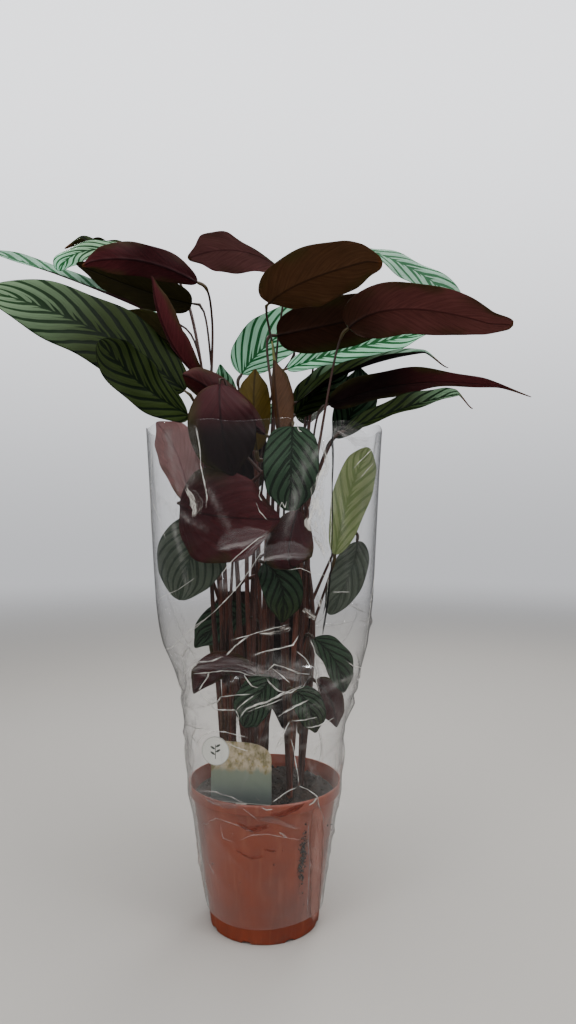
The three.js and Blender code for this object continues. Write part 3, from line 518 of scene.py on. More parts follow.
def bladePattern(tree):
    # the feather pattern, and the ground and stripe tones that the blade's points carry
    pattern = useGroup(tree, featherGroup, {"Place": attribute(tree, "bladePlace", "Vector"),
                                            "Habit": attribute(tree, "bladeHabit", "Vector")})
    return pattern, attribute(tree, "groundTone", "Color"), attribute(tree, "stripeTone", "Color")


def makeLeafTop():
    material, tree, surface, _ = newMaterial("leafStripedSide")
    pattern, pale, dark = bladePattern(tree)
    fine = soften(tree, pattern["Fine"], 0.3, 0.7, 0.86, 1.08)
    ground = mixTones(tree, 1.0, pale, grey(tree, fine), "MULTIPLY")
    colour = mixTones(tree, pattern["Stripe"], ground, dark)
    colour = mixTones(tree, times(tree, pattern["Rim"], 0.8), colour, dark)
    dress(tree, surface, blotched(tree, colour, 18.0, 0.45),
          soften(tree, pattern["Fine"], 0.2, 0.8, *leafFinish["roughTop"]), leafFinish["mirrorTop"],
          times(tree, pattern["Quilt"], 0.25, pattern["Fine"]), leafFinish["reliefTop"])
    return material


def makeLeafUnder():
    material, tree, surface, _ = newMaterial("leafWineSide")
    pattern, ground, veins = bladePattern(tree)
    line = soften(tree, pattern["Quilt"], 0.7, 1.0, 0.0, 0.26)
    line = calc(tree, "MAXIMUM", line, pattern["Midrib"])
    line = calc(tree, "MAXIMUM", line, times(tree, pattern["Stripe"], 0.1))
    fine = soften(tree, pattern["Fine"], 0.3, 0.7, 0.85, 1.12)
    colour = mixTones(tree, line, mixTones(tree, 1.0, ground, grey(tree, fine), "MULTIPLY"), veins)
    # a green tinge in patches along the margins
    edge = calc(tree, "ABSOLUTE", partsOf(tree, attribute(tree, "bladePlace", "Vector"))[1])
    patches = soften(tree, noiseOf(tree, objectPlace(tree), 16.0, 2.0), 0.42, 0.62)
    edge = times(tree, soften(tree, edge, 0.5, 1.0, 0.0, 0.75), patches)
    colour = mixTones(tree, edge, colour, tone(*leafFinish["marginTone"]))
    dress(tree, surface, blotched(tree, colour, 14.0, 0.7),
          soften(tree, pattern["Fine"], 0.2, 0.8, *leafFinish["roughUnder"]), leafFinish["mirrorUnder"],
          times(tree, pattern["Quilt"], 0.5, times(tree, pattern["Fine"], 0.6)), leafFinish["reliefUnder"])
    return material


def shadesAlong(shades, names, side, mix):
    # a blade's ground (side 0) or its stripes (side 1), from the base's shade to the tip's
    first, last = (names, names) if isinstance(names, str) else names
    return blend((shades[first][side], shades[last][side]), mix)


def makeLeaf(name, leaf, seed):
    # the blade's middle surface with quilted side veins and a groove, and a skin on both sides of it
    rows, columns = leafFinish["steps"] + 1, leafFinish["across"] + 1
    even = np.linspace(0, 1, rows)
    t, s = np.meshgrid(0.5 * even + 0.25 * (1 - np.cos(math.pi * even)), np.linspace(-1, 1, columns), indexing="ij")
    length = np.linalg.norm(np.subtract(leaf["tip"], leaf["base"]))
    slant, pairs = leaf["half"] / length, round(leafFinish["pairs"][0] + length / leafFinish["pairs"][1])
    normal = unit(np.cross(bladeAt(leaf, t + 0.004, s) - bladeAt(leaf, t - 0.004, s),
                           bladeAt(leaf, t, s + 0.02) - bladeAt(leaf, t, s - 0.02)))
    reach, half = np.abs(s), halfAt(leaf, t)
    lean = feather["lean"][0] * reach + feather["lean"][1] * reach ** 2
    turns = (t - slant * lean) * pairs + np.where(s > 0, feather["offset"], 0) + seed * 1.7
    quilt = np.cos(fullTurn * turns) * leafFinish["quiltHeight"] * (1 - reach ** 3) * ease(0, 8, half * reach)
    (deep, deepWidth), (high, highWidth) = leafFinish["groove"], leafFinish["ridge"]
    groove = -deep * np.exp(-(reach * half / deepWidth) ** 2) * (1 - 0.7 * t)
    ridge = high * np.exp(-(reach * half / highWidth) ** 2) * (1 - 0.8 * t)
    middle = bladeAt(leaf, t, s) + normal * (quilt + groove)[..., None]
    thick = leafFinish["thickness"] * (1 - 0.5 * reach ** 4) / 2
    upper = middle + normal * thick[..., None]
    lower = middle - normal * (thick + ridge)[..., None]
    faces = shellFaces(rows, columns)
    counts = [len(f) for f in faces]
    piece = buildPiece(name, np.concatenate([upper.reshape(-1, 3), lower.reshape(-1, 3)]), faces,
                       [leafTopMaterial, leafUnderMaterial], np.repeat([0, 1, 1], counts),
                       np.repeat([False, False, True], counts))
    mix = ease(*leaf["blend"], t.ravel())[:, None]
    dry = leaf["dry"]
    withered = (ease(1 - 1.6 * dry - 0.001, 1 - 0.8 * dry, t.ravel()) * (dry > 0))[:, None]
    layers = [np.concatenate([
        covered(shadesAlong(leafFinish[shades], leaf[key], side, mix), leafFinish["dryTone"], withered)
        for shades, key in (("topTones", "top"), ("underTones", "under"))]) for side in (0, 1)]
    spot = np.stack([t.ravel(), s.ravel(), half.ravel()], 1)
    addLayers(piece, groundTone=layers[0], stripeTone=layers[1], bladePlace=np.concatenate([spot, spot]),
              bladeHabit=np.tile([slant, pairs, seed], (2 * len(spot), 1)))
    return piece


leafTopMaterial = makeLeafTop()
leafUnderMaterial = makeLeafUnder()
pieces = []
for count, (leafName, leafForm) in enumerate(leafForms.items()):
    made = makeLeaf(leafName + "_blade", leafForm, 0.37 * count)
    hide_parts("leaf_" + leafName)
    pieces.append((made, "leaf"))
print("leaves:", len(leafForms))


# Tubes
def smoothRoute(points, count):
    # a centripetal Catmull-Rom spline through the points, at count + 1 places evenly spaced along its length
    points = np.array(points, float)
    full = np.concatenate([[2 * points[0] - points[1]], points, [2 * points[-1] - points[-2]]])
    dense = []
    w = np.linspace(0, 1, 40)[:, None]
    for p0, p1, p2, p3 in zip(full[:-3], full[1:-2], full[2:-1], full[3:]):
        d0, d1, d2 = (np.linalg.norm(b - a) ** 0.5 for a, b in ((p0, p1), (p1, p2), (p2, p3)))
        leave = ((p1 - p0) / d0 - (p2 - p0) / (d0 + d1) + (p2 - p1) / d1) * d1
        arrive = ((p2 - p1) / d1 - (p3 - p1) / (d1 + d2) + (p3 - p2) / d2) * d1
        dense.append(p1 + leave * w + (3 * (p2 - p1) - 2 * leave - arrive) * w ** 2
                     + (2 * (p1 - p2) + leave + arrive) * w ** 3)
    dense = np.concatenate(dense)
    run = np.concatenate([[0], np.cumsum(np.linalg.norm(np.diff(dense, axis=0), axis=1))])
    return placesOn(dense, run, np.linspace(0, run[-1], count + 1))


def placesOn(route, run, at):
    # the points of a polyline at places that are given by its run
    return np.stack([np.interp(at, run, route[:, k]) for k in range(3)], 1)


def tubeAround(route, radius, sides, section=None):
    # a ring of points round each place of the route, closed by a fan at each end
    ahead = unit(np.gradient(route, axis=0))
    axis = np.eye(3)[np.argmin(np.abs(ahead).max(0))]
    first = unit(axis - (ahead @ axis)[:, None] * ahead)
    second = np.cross(ahead, first)
    angle = fullTurn * np.arange(sides) / sides
    shape = np.ones((len(route), sides)) if section is None else section(angle)
    ring = route[:, None] + (radius[:, None] * shape)[..., None] * (
        np.cos(angle)[None, :, None] * first[:, None] + np.sin(angle)[None, :, None] * second[:, None])
    quads, fans = closedRings(len(route), sides)
    points = np.concatenate([ring.reshape(-1, 3), route[[0]], route[[-1]]])
    along = np.concatenate([np.repeat(np.linspace(0, 1, len(route)), sides), [0, 1]])
    turn = np.concatenate([np.tile(angle, len(route)), [0, 0]])
    return points, quads, fans, along, turn


def joinTubes(tubes):
    points, quads, fans, start = [], [], [], 0
    for tube in tubes:
        points.append(tube[0])
        quads.append(tube[1] + start)
        fans.append(tube[2] + start)
        start += len(tube[0])
    return np.concatenate(points), [np.concatenate(quads), np.concatenate(fans)]


# Shoots: a cane from its hole in the soil through the points of cane, and stalks that leave it at a share of its
# length and run through the points given to the foot of their leaf.
shootForms = {
    "shoot_left_front": dict(foot=(-52, -22), cane=((-54, -26, 330), (-62, -36, 520), (-74, -46, 640)), stalks=[
        ("left_broad", 0.12, (-68, -30, 420), (-80, -50, 640)),
        ("left_low", 0.8, (-76, -78, 640)),
        ("left_young", 0.97),
        ("sleeve_pink", 0.6),
        ("sleeve_left", 0.45, (-56, -38, 520)),
    ]),
    "shoot_left_back": dict(foot=(-48, 28), cane=((-52, 26, 340), (-62, 18, 560), (-78, 12, 720)), stalks=[
        ("left_edge", 0.12, (-66, 40, 450), (-106, 44, 810)),
        ("left_far", 0.85, (-120, 70, 880)),
        ("left_curled", 0.95, (-120, 34, 880)),
        ("left_top", 0.98, (-72, -8, 820)),
        ("left_dark", 0.14, (-38, 20, 450), (-70, 4, 720)),
        ("left_behind", 0.93),
    ]),
    "shoot_centre_front": dict(foot=(-16, -44), cane=((-18, -46, 330), (-22, -54, 480), (-20, -62, 600)), stalks=[
        ("centre_arch", 0.12, (-11, -64, 430), (0, -70, 600)),
        ("centre_dome", 0.15, (-32, -52, 420), (-38, -70, 600), (-48, -98, 724)),
        ("sleeve_maroon", 0.12, (-43, -50, 400), (-50, -58, 560)),
        ("centre_brown", 0.98),
        ("sleeve_low_front", 0.15),
        ("sleeve_low_left", 0.22),
    ]),
    "shoot_centre": dict(foot=(-2, 2), cane=((-2, 0, 340), (4, -4, 560), (14, -8, 720)), stalks=[
        ("top_centre", 0.12, (12, 10, 450), (22, 4, 720)),
        ("right_dark", 0.97),
        ("centre_green", 0.8),
        ("centre_olive", 0.85),
        ("sleeve_inner", 0.5, (2, -18, 500)),
    ]),
    "shoot_back": dict(foot=(-6, 50), cane=((-8, 54, 340), (-12, 62, 560), (-16, 66, 700)), stalks=[
        ("top_back", 0.14, (8, 50, 500), (16, 48, 790), (26, 40, 870)),
        ("centre_striped", 0.95),
        ("back_tall", 0.12, (-20, 70, 450), (10, 90, 740)),
        ("back_left", 0.9),
        ("back_low", 0.8, (-24, 84, 690)),
        ("back_low_left", 0.6),
        ("back_centre", 0.97),
        ("low_green", 0.25),
    ]),
    "shoot_right_front": dict(foot=(34, -34), cane=((38, -36, 340), (52, -40, 520), (68, -44, 620)), stalks=[
        ("right_long", 0.97),
        ("right_black", 0.14, (52, -26, 420)),
        ("right_low", 0.93),
        ("sleeve_striped", 0.12, (25, -34, 420), (30, -42, 620)),
        ("sleeve_wine", 0.7, (48, -50, 566)),
        ("sleeve_low_right", 0.3),
        ("low_inner", 0.1),
    ]),
    "shoot_right": dict(foot=(50, 10), cane=((54, 10, 330), (60, 10, 480), (54, 10, 620)), stalks=[
        ("right_striped", 0.12, (66, 2, 420)),
        ("right_thin", 0.96),
        ("centre_right", 0.9),
        ("sleeve_pale", 0.5),
        ("sleeve_right", 0.6, (118, 34, 530)),
        ("low_maroon", 0.1),
    ]),
    "shoot_right_back": dict(foot=(36, 50), cane=((40, 54, 340), (52, 62, 560), (66, 76, 720)), stalks=[
        ("right_far", 0.12, (32, 62, 450), (90, 74, 880)),
        ("right_inner", 0.7),
        ("back_right", 0.14, (52, 60, 430)),
        ("back_low_right", 0.6),
    ]),
}

shootFinish = {
    "foot": (117, 197), "steps": (110, 56), "sides": (20, 14, 12),  # cane, stalk and old sheath
    "caneRadius": (4.2, 2.4), "nodeRise": 0.7, "stalkRadius": 1.5, "pulvinus": 2.3, "sheath": 3.6, "oldSheaths": 5,
    "caneTones": ((126, 68, 48), (74, 36, 30)), "stalkTones": ((88, 48, 38), (32, 15, 15)),
    "oldTones": ((96, 66, 46), (62, 36, 28)), "streakTone": (58, 34, 26), "pulvinusTone": (82, 72, 28),
    "rough": (0.42, 0.6), "gloss": 0.18, "relief": (0.0006, 0.6),
    "straight": (12, 1.2),  # a stalk runs straight this far before its leaf's foot, and ends this far inside it
    "swell": (1.5, 45),  # at a stalk's start: how much thicker, and over what length that fades
    "lowShare": 0.2, "sheathEnd": (0.75, 0.3),  # a stalk that starts lower has a sheath, which ends between these
    "pulvinusFrom": (22, 16), "ripeFrom": (24, 14),  # distances from a stalk's end
    "ripeness": (0.75, 0.2),  # of every third stalk, and of the others
    "endTaper": (0.55, 4),  # the share of the radius that is left at a stalk's end, and the taper's length
    # an old sheath: shares of the cane, distance from its middle, radius and how flat it is
    "oldStart": (0.12, 0.42), "oldLength": (0.1, 0.2), "oldLean": (3.6, 3, 9), "oldRadius": (4.2, 0.3),
    "oldFlat": 0.16,
}


def makeCaneSkin():
    material, tree, surface, _ = newMaterial("caneSkin")
    run = attribute(tree, "stemPlace", "Vector")
    streak = noiseOf(tree, stretch(tree, run, (0.02, 2.6, 1.0)), 1.0, 3.0, 0.65)
    colour = mixTones(tree, soften(tree, streak, 0.35, 0.7, 0.0, 0.75), attribute(tree, "stemTone", "Color"),
                      tone(*shootFinish["streakTone"]))
    dress(tree, surface, blotched(tree, colour, 30.0, 0.8), soften(tree, streak, 0.2, 0.8, *shootFinish["rough"]),
          shootFinish["gloss"], streak, shootFinish["relief"])
    return material


def placesFor(tube, length, number):
    # the way along in mm, the turn and the number of the part, for the streaks
    return np.stack([tube[3] * length, tube[4], np.full(len(tube[3]), float(number))], 1)


def makeStalk(cane, leaf, share, vias, number):
    # a stalk from its place on the cane to the foot of its leaf, thicker at its start and in the joint at its end
    base = np.array(leaf["base"], float)
    ahead = unit(midribAt(leaf, np.array(0.001)) - midribAt(leaf, np.array(-0.001)))
    at = share * (len(cane) - 1)
    start = cane[int(at)] + (cane[min(int(at) + 1, len(cane) - 1)] - cane[int(at)]) * (at % 1)
    before, inside = shootFinish["straight"]
    route = smoothRoute([start, *vias, base - before * ahead, base + inside * ahead], shootFinish["steps"][1])
    length = np.linalg.norm(np.diff(route, axis=0), axis=1).sum()
    run = np.linspace(0, 1, len(route))
    fromTip = (1 - run) * length
    thin = shootFinish["stalkRadius"]
    grown = shootFinish["sheath"] - thin if share < shootFinish["lowShare"] else 0
    (swell, fading), (left, taper) = shootFinish["swell"], shootFinish["endTaper"]
    radius = thin + np.maximum(swell * np.exp(-run * length / fading), grown * ease(*shootFinish["sheathEnd"], run))
    radius = radius + (shootFinish["pulvinus"] - thin) * ease(*shootFinish["pulvinusFrom"], fromTip)
    radius = radius * (left + (1 - left) * ease(0, taper, fromTip))
    tube = tubeAround(route, radius, shootFinish["sides"][1])
    ripeness = shootFinish["ripeness"][0 if number % 3 == 0 else 1]
    ripe = (ease(*shootFinish["ripeFrom"], (1 - tube[3]) * length) * ripeness)[:, None]
    colour = covered(blend(shootFinish["stalkTones"], tube[3][:, None]), shootFinish["pulvinusTone"], ripe)
    return tube, colour, placesFor(tube, length, number + 1)


def makeOldSheath(cane, number, draw):
    # a papery strip that wraps the lower cane and stands off it at its end
    near, *far = shootFinish["oldLean"]
    first = draw.uniform(*shootFinish["oldStart"])
    run = np.linspace(0, 1, 30)
    at = (first + run * draw.uniform(*shootFinish["oldLength"])) * (len(cane) - 1)
    turn = draw.uniform(0, fullTurn)
    lean = near + draw.uniform(*far) * run ** 2.2
    off = np.stack([np.cos(turn) * lean, np.sin(turn) * lean, 0 * run], 1)
    route = placesOn(cane, np.arange(len(cane)), at) + off

    def flat(angle):  # a thin section, its broad side along the cane's skin
        flatness = shootFinish["oldFlat"]
        thin = flatness + (1 - flatness) * np.abs(np.sin(angle + turn))
        return np.where(np.abs(np.cos(angle)) > 0.01, thin, 1)[None]

    wide, least = shootFinish["oldRadius"]
    radius = wide * np.sin(math.pi * run ** 0.6) ** 0.5 * (1 - 0.5 * run) + least
    tube = tubeAround(route, radius, shootFinish["sides"][2], flat)
    colour = np.tile(tone(*shootFinish["oldTones"][number % 2]), (len(tube[3]), 1))
    return tube, colour, placesFor(tube, 90, 40 + number)


def makeShoot(name, shoot):
    x, y = shoot["foot"]
    low, high = shootFinish["foot"]
    cane = smoothRoute([(x, y, low + 0.3), (x, y, high), *shoot["cane"]], shootFinish["steps"][0])
    run = np.linspace(0, 1, len(cane))
    thick, thin = shootFinish["caneRadius"]
    radius = thick + (thin - thick) * run
    for stalk in shoot["stalks"]:
        radius = radius + shootFinish["nodeRise"] * np.exp(-((run - stalk[1]) / 0.008) ** 2)
    tube = tubeAround(cane, radius, shootFinish["sides"][0])
    parts = [(tube, blend(shootFinish["caneTones"], tube[3][:, None]), placesFor(tube, 600, 0))]
    for number, (leafName, share, *vias) in enumerate(shoot["stalks"]):
        parts.append(makeStalk(cane, leafForms[leafName], share, vias, number))
    draw = np.random.default_rng(int(abs(x) * 7 + abs(y)))
    parts += [makeOldSheath(cane, number, draw) for number in range(shootFinish["oldSheaths"])]
    tubes, colours, places = zip(*parts)
    piece = buildPiece(name, *joinTubes(tubes), [caneSkin])
    addLayers(piece, stemTone=np.concatenate(colours), stemPlace=np.concatenate(places))
    return piece


caneSkin = makeCaneSkin()
for shootName, shootForm in shootForms.items():
    made = makeShoot(shootName + "_stems", shootForm)
    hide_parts(shootName)
    pieces.append((made, "cane"))
print("shoots:", len(shootForms))

# New spear: a young leaf rolled up like a scroll
spearForm = {"route": ((14.2, -8, 718), (14, -10, 755), (10, -14, 790)), "radius": 3.0, "tipRadius": 0.5,
             "scroll": 0.22, "tones": ((96, 104, 44), (150, 156, 84))}


def makeSpear():
    route = smoothRoute(spearForm["route"], 70)
    run = np.linspace(0, 1, len(route))
    radius = spearForm["radius"] * (1 - run ** 2) + spearForm["tipRadius"]

    def scroll(angle):  # the radius grows once round, with a step where the rolled edge lies
        turn = ((angle[None] / fullTurn + 1.3 * run[:, None]) % 1)
        return 1 + spearForm["scroll"] * (turn - 0.5) - 0.2 * spearForm["scroll"] * np.exp(-(turn / 0.05) ** 2)

    tube = tubeAround(route, radius, 40, scroll)
    piece = buildPiece("new_spear_roll", *joinTubes([tube]), [caneSkin])
    addLayers(piece, stemTone=blend(spearForm["tones"], tube[3][:, None]),
              stemPlace=placesFor(tube, 300, 1) * (1, 3, 1))
    return piece


spear = makeSpear()
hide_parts("leaf_new_spear")
pieces.append((spear, "young_leaf"))


# Pot
def roundCorners(profile, radius):
    # each corner becomes a short parabola that starts and ends up to radius from it
    profile = np.array(profile, float)
    rows = [profile[:1]]
    t = np.linspace(0, 1, 5)[:, None]
    for before, corner, after in zip(profile[:-2], profile[1:-1], profile[2:]):
        start = corner + unit(before - corner) * min(radius, 0.45 * np.linalg.norm(before - corner))
        end = corner + unit(after - corner) * min(radius, 0.45 * np.linalg.norm(after - corner))
        rows.append((1 - t) ** 2 * start + 2 * t * (1 - t) * corner + t ** 2 * end)
    return np.concatenate(rows + [profile[-1:]])


def spun(profile, sides, shift):
    # a profile from axis to axis, carried round Z; shift moves the grid of points
    turn = fullTurn * np.arange(sides) / sides
    ring = profile[1:-1]
    grid = shift(np.stack([ring[:, None, 0] * np.cos(turn), ring[:, None, 0] * np.sin(turn),
                           np.broadcast_to(ring[:, None, 1], (len(ring), sides))], -1))
    middle = [[0, 0, profile[0][1]], [0, 0, grid[-1, :, 2].mean()]]
    return np.concatenate([grid.reshape(-1, 3), middle]), list(closedRings(len(ring), sides))


potForm = {
    "profile": [(0, 0), (50, 0), (53, 3), (66, 3), (68, 0), (74, 0), (98, 176), (104, 176.5), (105, 188),
                (104, 191), (102, 191), (97, 179), (96, 172), (72, 6), (0, 6)],
    "corner": 1.6, "sides": 224, "notches": 8, "notchTurn": 0.62, "notchWidth": 10, "notchHeight": 2.6,
    "tone": (156, 66, 34), "deepTone": (128, 50, 26), "drawnTone": (206, 128, 92), "dustTone": (96, 70, 54),
    "rough": (0.4, 0.54), "relief": (0.0003, 0.25),
    "footRing": (2.5, 64), "wave": 0.25,  # the notched ring's greatest height and least radius; the wall's waves
}


def potShift(grid):
    # lifts the foot's edge in the notches, and lets the wall wave by a few tenths as moulded plastic does
    turn = np.arctan2(grid[..., 1], grid[..., 0]) - math.pi / 2
    radius = np.hypot(grid[..., 0], grid[..., 1])
    step = fullTurn / potForm["notches"]
    off = (turn / step - potForm["notchTurn"] + 0.5) % 1 - 0.5
    inNotch = ease(1.25, 0.85, np.abs(off) * step * radius / (potForm["notchWidth"] / 2))
    high, least = potForm["footRing"]
    foot = (grid[..., 2] < high) & (radius > least)
    grid = grid.copy()
    grid[..., 2] += np.where(foot, inNotch * potForm["notchHeight"], 0)
    wave = potForm["wave"] * np.sin(3 * turn + 0.02 * grid[..., 2])
    grid[..., :2] *= (1 + wave / np.maximum(radius, 20) * ease(20, 60, grid[..., 2]))[..., None]
    return grid


def makePotPlastic():
    material, tree, surface, _ = newMaterial("potPlastic")
    place = objectPlace(tree)
    cloudy = noiseOf(tree, place, 9.0, 4.0, 0.6)
    colour = mixTones(tree, soften(tree, cloudy, 0.35, 0.7), tone(*potForm["tone"]), tone(*potForm["deepTone"]))
    drawn = noiseOf(tree, stretch(tree, place, (1.0, 1.0, 0.06)), 160.0, 2.0)
    colour = mixTones(tree, soften(tree, drawn, 0.5, 0.75, 0.0, 0.16), colour, tone(*potForm["drawnTone"]))
    dust = times(tree, soften(tree, partsOf(tree, place)[2], 0.02, 0.0, 0.0, 0.35), soften(
        tree, noiseOf(tree, place, 70.0, 4.0, 0.7), 0.45, 0.6))
    colour = mixTones(tree, dust, colour, tone(*potForm["dustTone"]))
    dress(tree, surface, colour, soften(tree, cloudy, 0.3, 0.7, *potForm["rough"]),
          height=noiseOf(tree, place, 900.0, 2.0), relief=potForm["relief"])
    return material


potLine = roundCorners(potForm["profile"], potForm["corner"])
pot = buildPiece("pot_shell", *spun(potLine, potForm["sides"], potShift), [makePotPlastic()])
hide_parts("pot")
pieces.append((pot, "pot"))
print("pot made")

# Soil: a heap inside the pot's wall, lumpy on top, with loose crumbs on it
soilForm = {"bottom": 6.4, "top": 177, "footRadius": 71.4, "topRadius": 94.6, "rings": 46, "sides": 150, "seed": 4,
            "heights": ([0, 32, 58, 80, 96], [178, 179, 176, 178, 172.5]),  # from the axis outwards
            "shoulder": 172, "ledge": 176,  # where the heap meets the wall, and its top before it's shaped
            "lumps": ((22, 2.4), (9, 1.3), (4.5, 0.8)),  # size and height
            "crumbRadius": 90, "wall": ((0, 176), (74, 98)), "gap": 1.5, "elsewhere": (40, 150),  # the pot's wall
            "crumbs": (420, 9, (0.8, 3.6)), "specks": (300, 12, (0.6, 1.7)),  # count, seed, least and most size
            "drift": {"share": 0.86, "angle": (-56, 1.7), "height": (112, 17)},  # middle and spread
            "tones": ((34, 24, 18), (62, 44, 32), (20, 14, 11)), "grit": (150, 132, 108)}


def lumps(x, y):
    # a few crossed sine waves of random direction for each size, with its height
    draw = np.random.default_rng(soilForm["seed"])
    total = np.zeros_like(x)
    for size, rise in soilForm["lumps"]:
        for _ in range(7):
            turn, shift = draw.uniform(0, fullTurn, 2)
            total = total + np.sin((x * math.cos(turn) + y * math.sin(turn)) * fullTurn / size + shift) * rise / 3
    return total


def soilHeight(x, y):
    radius = np.hypot(x, y)
    return np.interp(radius, *soilForm["heights"]) + lumps(x, y) * ease(96, 86, radius)


def soilShift(grid):
    # the heap's own height where the grid is its top
    top = grid[..., 2] > soilForm["shoulder"] - 1
    height = np.where(top, soilHeight(grid[..., 0], grid[..., 1]), grid[..., 2])
    return np.stack([grid[..., 0], grid[..., 1], height], -1)


def crumbBodies(placeAt, count, seed, sizes):
    # small twenty-sided bodies, each pulled about by its own draw
    draw = np.random.default_rng(seed)
    g = (1 + 5 ** 0.5) / 2
    corners = unit(np.array([(-1, g, 0), (1, g, 0), (-1, -g, 0), (1, -g, 0), (0, -1, g), (0, 1, g), (0, -1, -g),
                             (0, 1, -g), (g, 0, -1), (g, 0, 1), (-g, 0, -1), (-g, 0, 1)], float))
    sides = np.array([(0, 11, 5), (0, 5, 1), (0, 1, 7), (0, 7, 10), (0, 10, 11), (1, 5, 9), (5, 11, 4), (11, 10, 2),
                      (10, 7, 6), (7, 1, 8), (3, 9, 4), (3, 4, 2), (3, 2, 6), (3, 6, 8), (3, 8, 9), (4, 9, 5),
                      (2, 4, 11), (6, 2, 10), (8, 6, 7), (9, 8, 1)])
    centre = placeAt(draw, count)
    size = draw.uniform(*sizes, count) * draw.uniform(0.5, 1, count)
    pull = draw.uniform(0.65, 1.3, (count, 12, 1)) * draw.uniform(0.6, 1.2, (count, 1, 3))
    points = centre[:, None] + corners[None] * pull * size[:, None, None]
    faces = sides[None] + 12 * np.arange(count)[:, None, None]
    return points.reshape(-1, 3), faces.reshape(-1, 3)


def onSoil(draw, count):
    radius = soilForm["crumbRadius"] * np.sqrt(draw.uniform(0, 1, count))
    turn = draw.uniform(0, fullTurn, count)
    x, y = radius * np.cos(turn), radius * np.sin(turn)
    return np.stack([x, y, soilHeight(x, y) + 0.4], 1)


def betweenPotAndFilm(draw, count):
    # specks of soil that fell between the pot's wall and the film: a drift at the front right, and a few elsewhere
    drift = soilForm["drift"]
    within = draw.uniform(0, 1, count) < drift["share"]
    turn = np.where(within, np.radians(drift["angle"][0] + drift["angle"][1] * draw.normal(size=count)),
                    draw.uniform(-math.pi, math.pi, count))
    height = np.where(within, drift["height"][0] + drift["height"][1] * draw.normal(size=count),
                      draw.uniform(*soilForm["elsewhere"], count))
    radius = np.interp(height, *soilForm["wall"]) + soilForm["gap"]
    return np.stack([radius * np.cos(turn), radius * np.sin(turn), height], 1)


def makeSoilSkin():
    material, tree, surface, _ = newMaterial("pottingSoil")
    place = objectPlace(tree)
    coarse, fine = noiseOf(tree, place, 60.0, 5.0, 0.7), noiseOf(tree, place, 420.0, 3.0, 0.6)
    dry, damp, dark = (tone(*values) for values in soilForm["tones"])
    colour = mixTones(tree, soften(tree, coarse, 0.35, 0.65), dry, damp)
    colour = mixTones(tree, soften(tree, fine, 0.5, 0.62, 0.0, 0.7), colour, dark)
    grit = node(tree, "TexVoronoi", {"Vector": place, "Scale": 330.0}).outputs[0]
    colour = mixTones(tree, soften(tree, grit, 0.14, 0.05, 0.0, 0.6), colour, tone(*soilForm["grit"]))
    dress(tree, surface, colour, 0.9, 0.2, calc(tree, "ADD", coarse, fine), (0.0016, 0.9))
    return material


def makeSoil():
    foot, top, low = soilForm["footRadius"], soilForm["topRadius"], soilForm["bottom"]
    rise, count = soilForm["shoulder"] - low, soilForm["rings"]
    line = [(0, low), (foot, low)] + [(foot + (top - foot) * k / 8, low + rise * k / 8) for k in range(1, 9)]
    line += [(top * (1 - k / count), soilForm["ledge"]) for k in range(1, count + 1)]
    points, (quads, fans) = spun(np.array(line, float), soilForm["sides"], soilShift)
    crumbs, crumbFaces = crumbBodies(onSoil, *soilForm["crumbs"])
    specks, speckFaces = crumbBodies(betweenPotAndFilm, *soilForm["specks"])
    triangles = [fans, crumbFaces + len(points), speckFaces + len(points) + len(crumbs)]
    return buildPiece("soil_heap", np.concatenate([points, crumbs, specks]), [quads, np.concatenate(triangles)],
                      [makeSoilSkin()])


soil = makeSoil()
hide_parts("soil")
pieces.append((soil, "soil"))
print("soil made")

# Care card: a thin plate with an arched top and a round badge at its upper left, on a stake in the soil.
# Its own coordinates are x to the right and z up from the soil, and it is turned a little about Z.
cardForm = {
    "width": 80, "height": 86, "thick": 0.9, "centre": (-28, -79), "turn": -0.22, "soilTop": 177,
    "badge": (-34, 72.5), "badgeRadius": 18.5, "badgeEdge": (17.3, 17.8), "stakeWidth": 14, "stakeDepth": 40,
    "leaves": ((-1, -3.0), (1, 0.5), (-1, 4.0), (1, 7.0)), "leafHalves": (3.4, 1.4),  # the sprig's: side and height
    "leafAway": 3.6, "leafTurn": (0.85, 0.5), "stemHalves": ((0.35, 0.6), (9.0, 9.5)), "corner": 4, "point": 6,
    "body": 8, "arch": 18, "blots": (0.11, 0.22), "bandAt": (46.0, 54.0), "footAt": (9.5, 7.5),
    "upperTones": ((196, 180, 152), (120, 112, 66), (160, 140, 50)),
    "lowerTones": ((122, 134, 114), (84, 100, 98)),
    "badgeTone": (236, 236, 228), "inkTone": (62, 70, 60), "ringTone": (120, 124, 112), "footTone": (226, 226, 216),
}


def bend(*corners):
    # a parabola from the first of three corners to the last
    a, b, c = (np.array(corner, float) for corner in corners)
    return [tuple((1 - t) ** 2 * a + 2 * t * (1 - t) * b + t * t * c) for t in np.linspace(0, 1, 14)]


def cardOutline():
    # from the stake's point to the right, over the arch and the cut corner behind the badge, and back on the left
    half, top, low = cardForm["width"] / 2, cardForm["height"], cardForm["body"]
    stake, deep = cardForm["stakeWidth"] / 2, -cardForm["stakeDepth"]
    c, point, arch = cardForm["corner"], cardForm["point"], cardForm["arch"]
    return np.array([(-stake, deep + point), (0, deep), (stake, deep + point), (stake, low)]
                    + bend((half - c, low), (half, low), (half, low + c))
                    + bend((half, top - arch), (half - 3, top), (2, top)) + [(-half + 10, top), (-half, top - 10)]
                    + bend((-half, low + c), (-half, low), (-half + c, low)) + [(-stake, low)])


def standCard(flat, depth):
    # from the card's own x and z to the object, at a depth before (-) or behind (+) its middle
    c, s = math.cos(cardForm["turn"]), math.sin(cardForm["turn"])
    x = cardForm["centre"][0] + flat[:, 0] * c - depth * s
    y = cardForm["centre"][1] + flat[:, 0] * s + depth * c
    return np.stack([x, y, cardForm["soilTop"] + flat[:, 1]], 1)


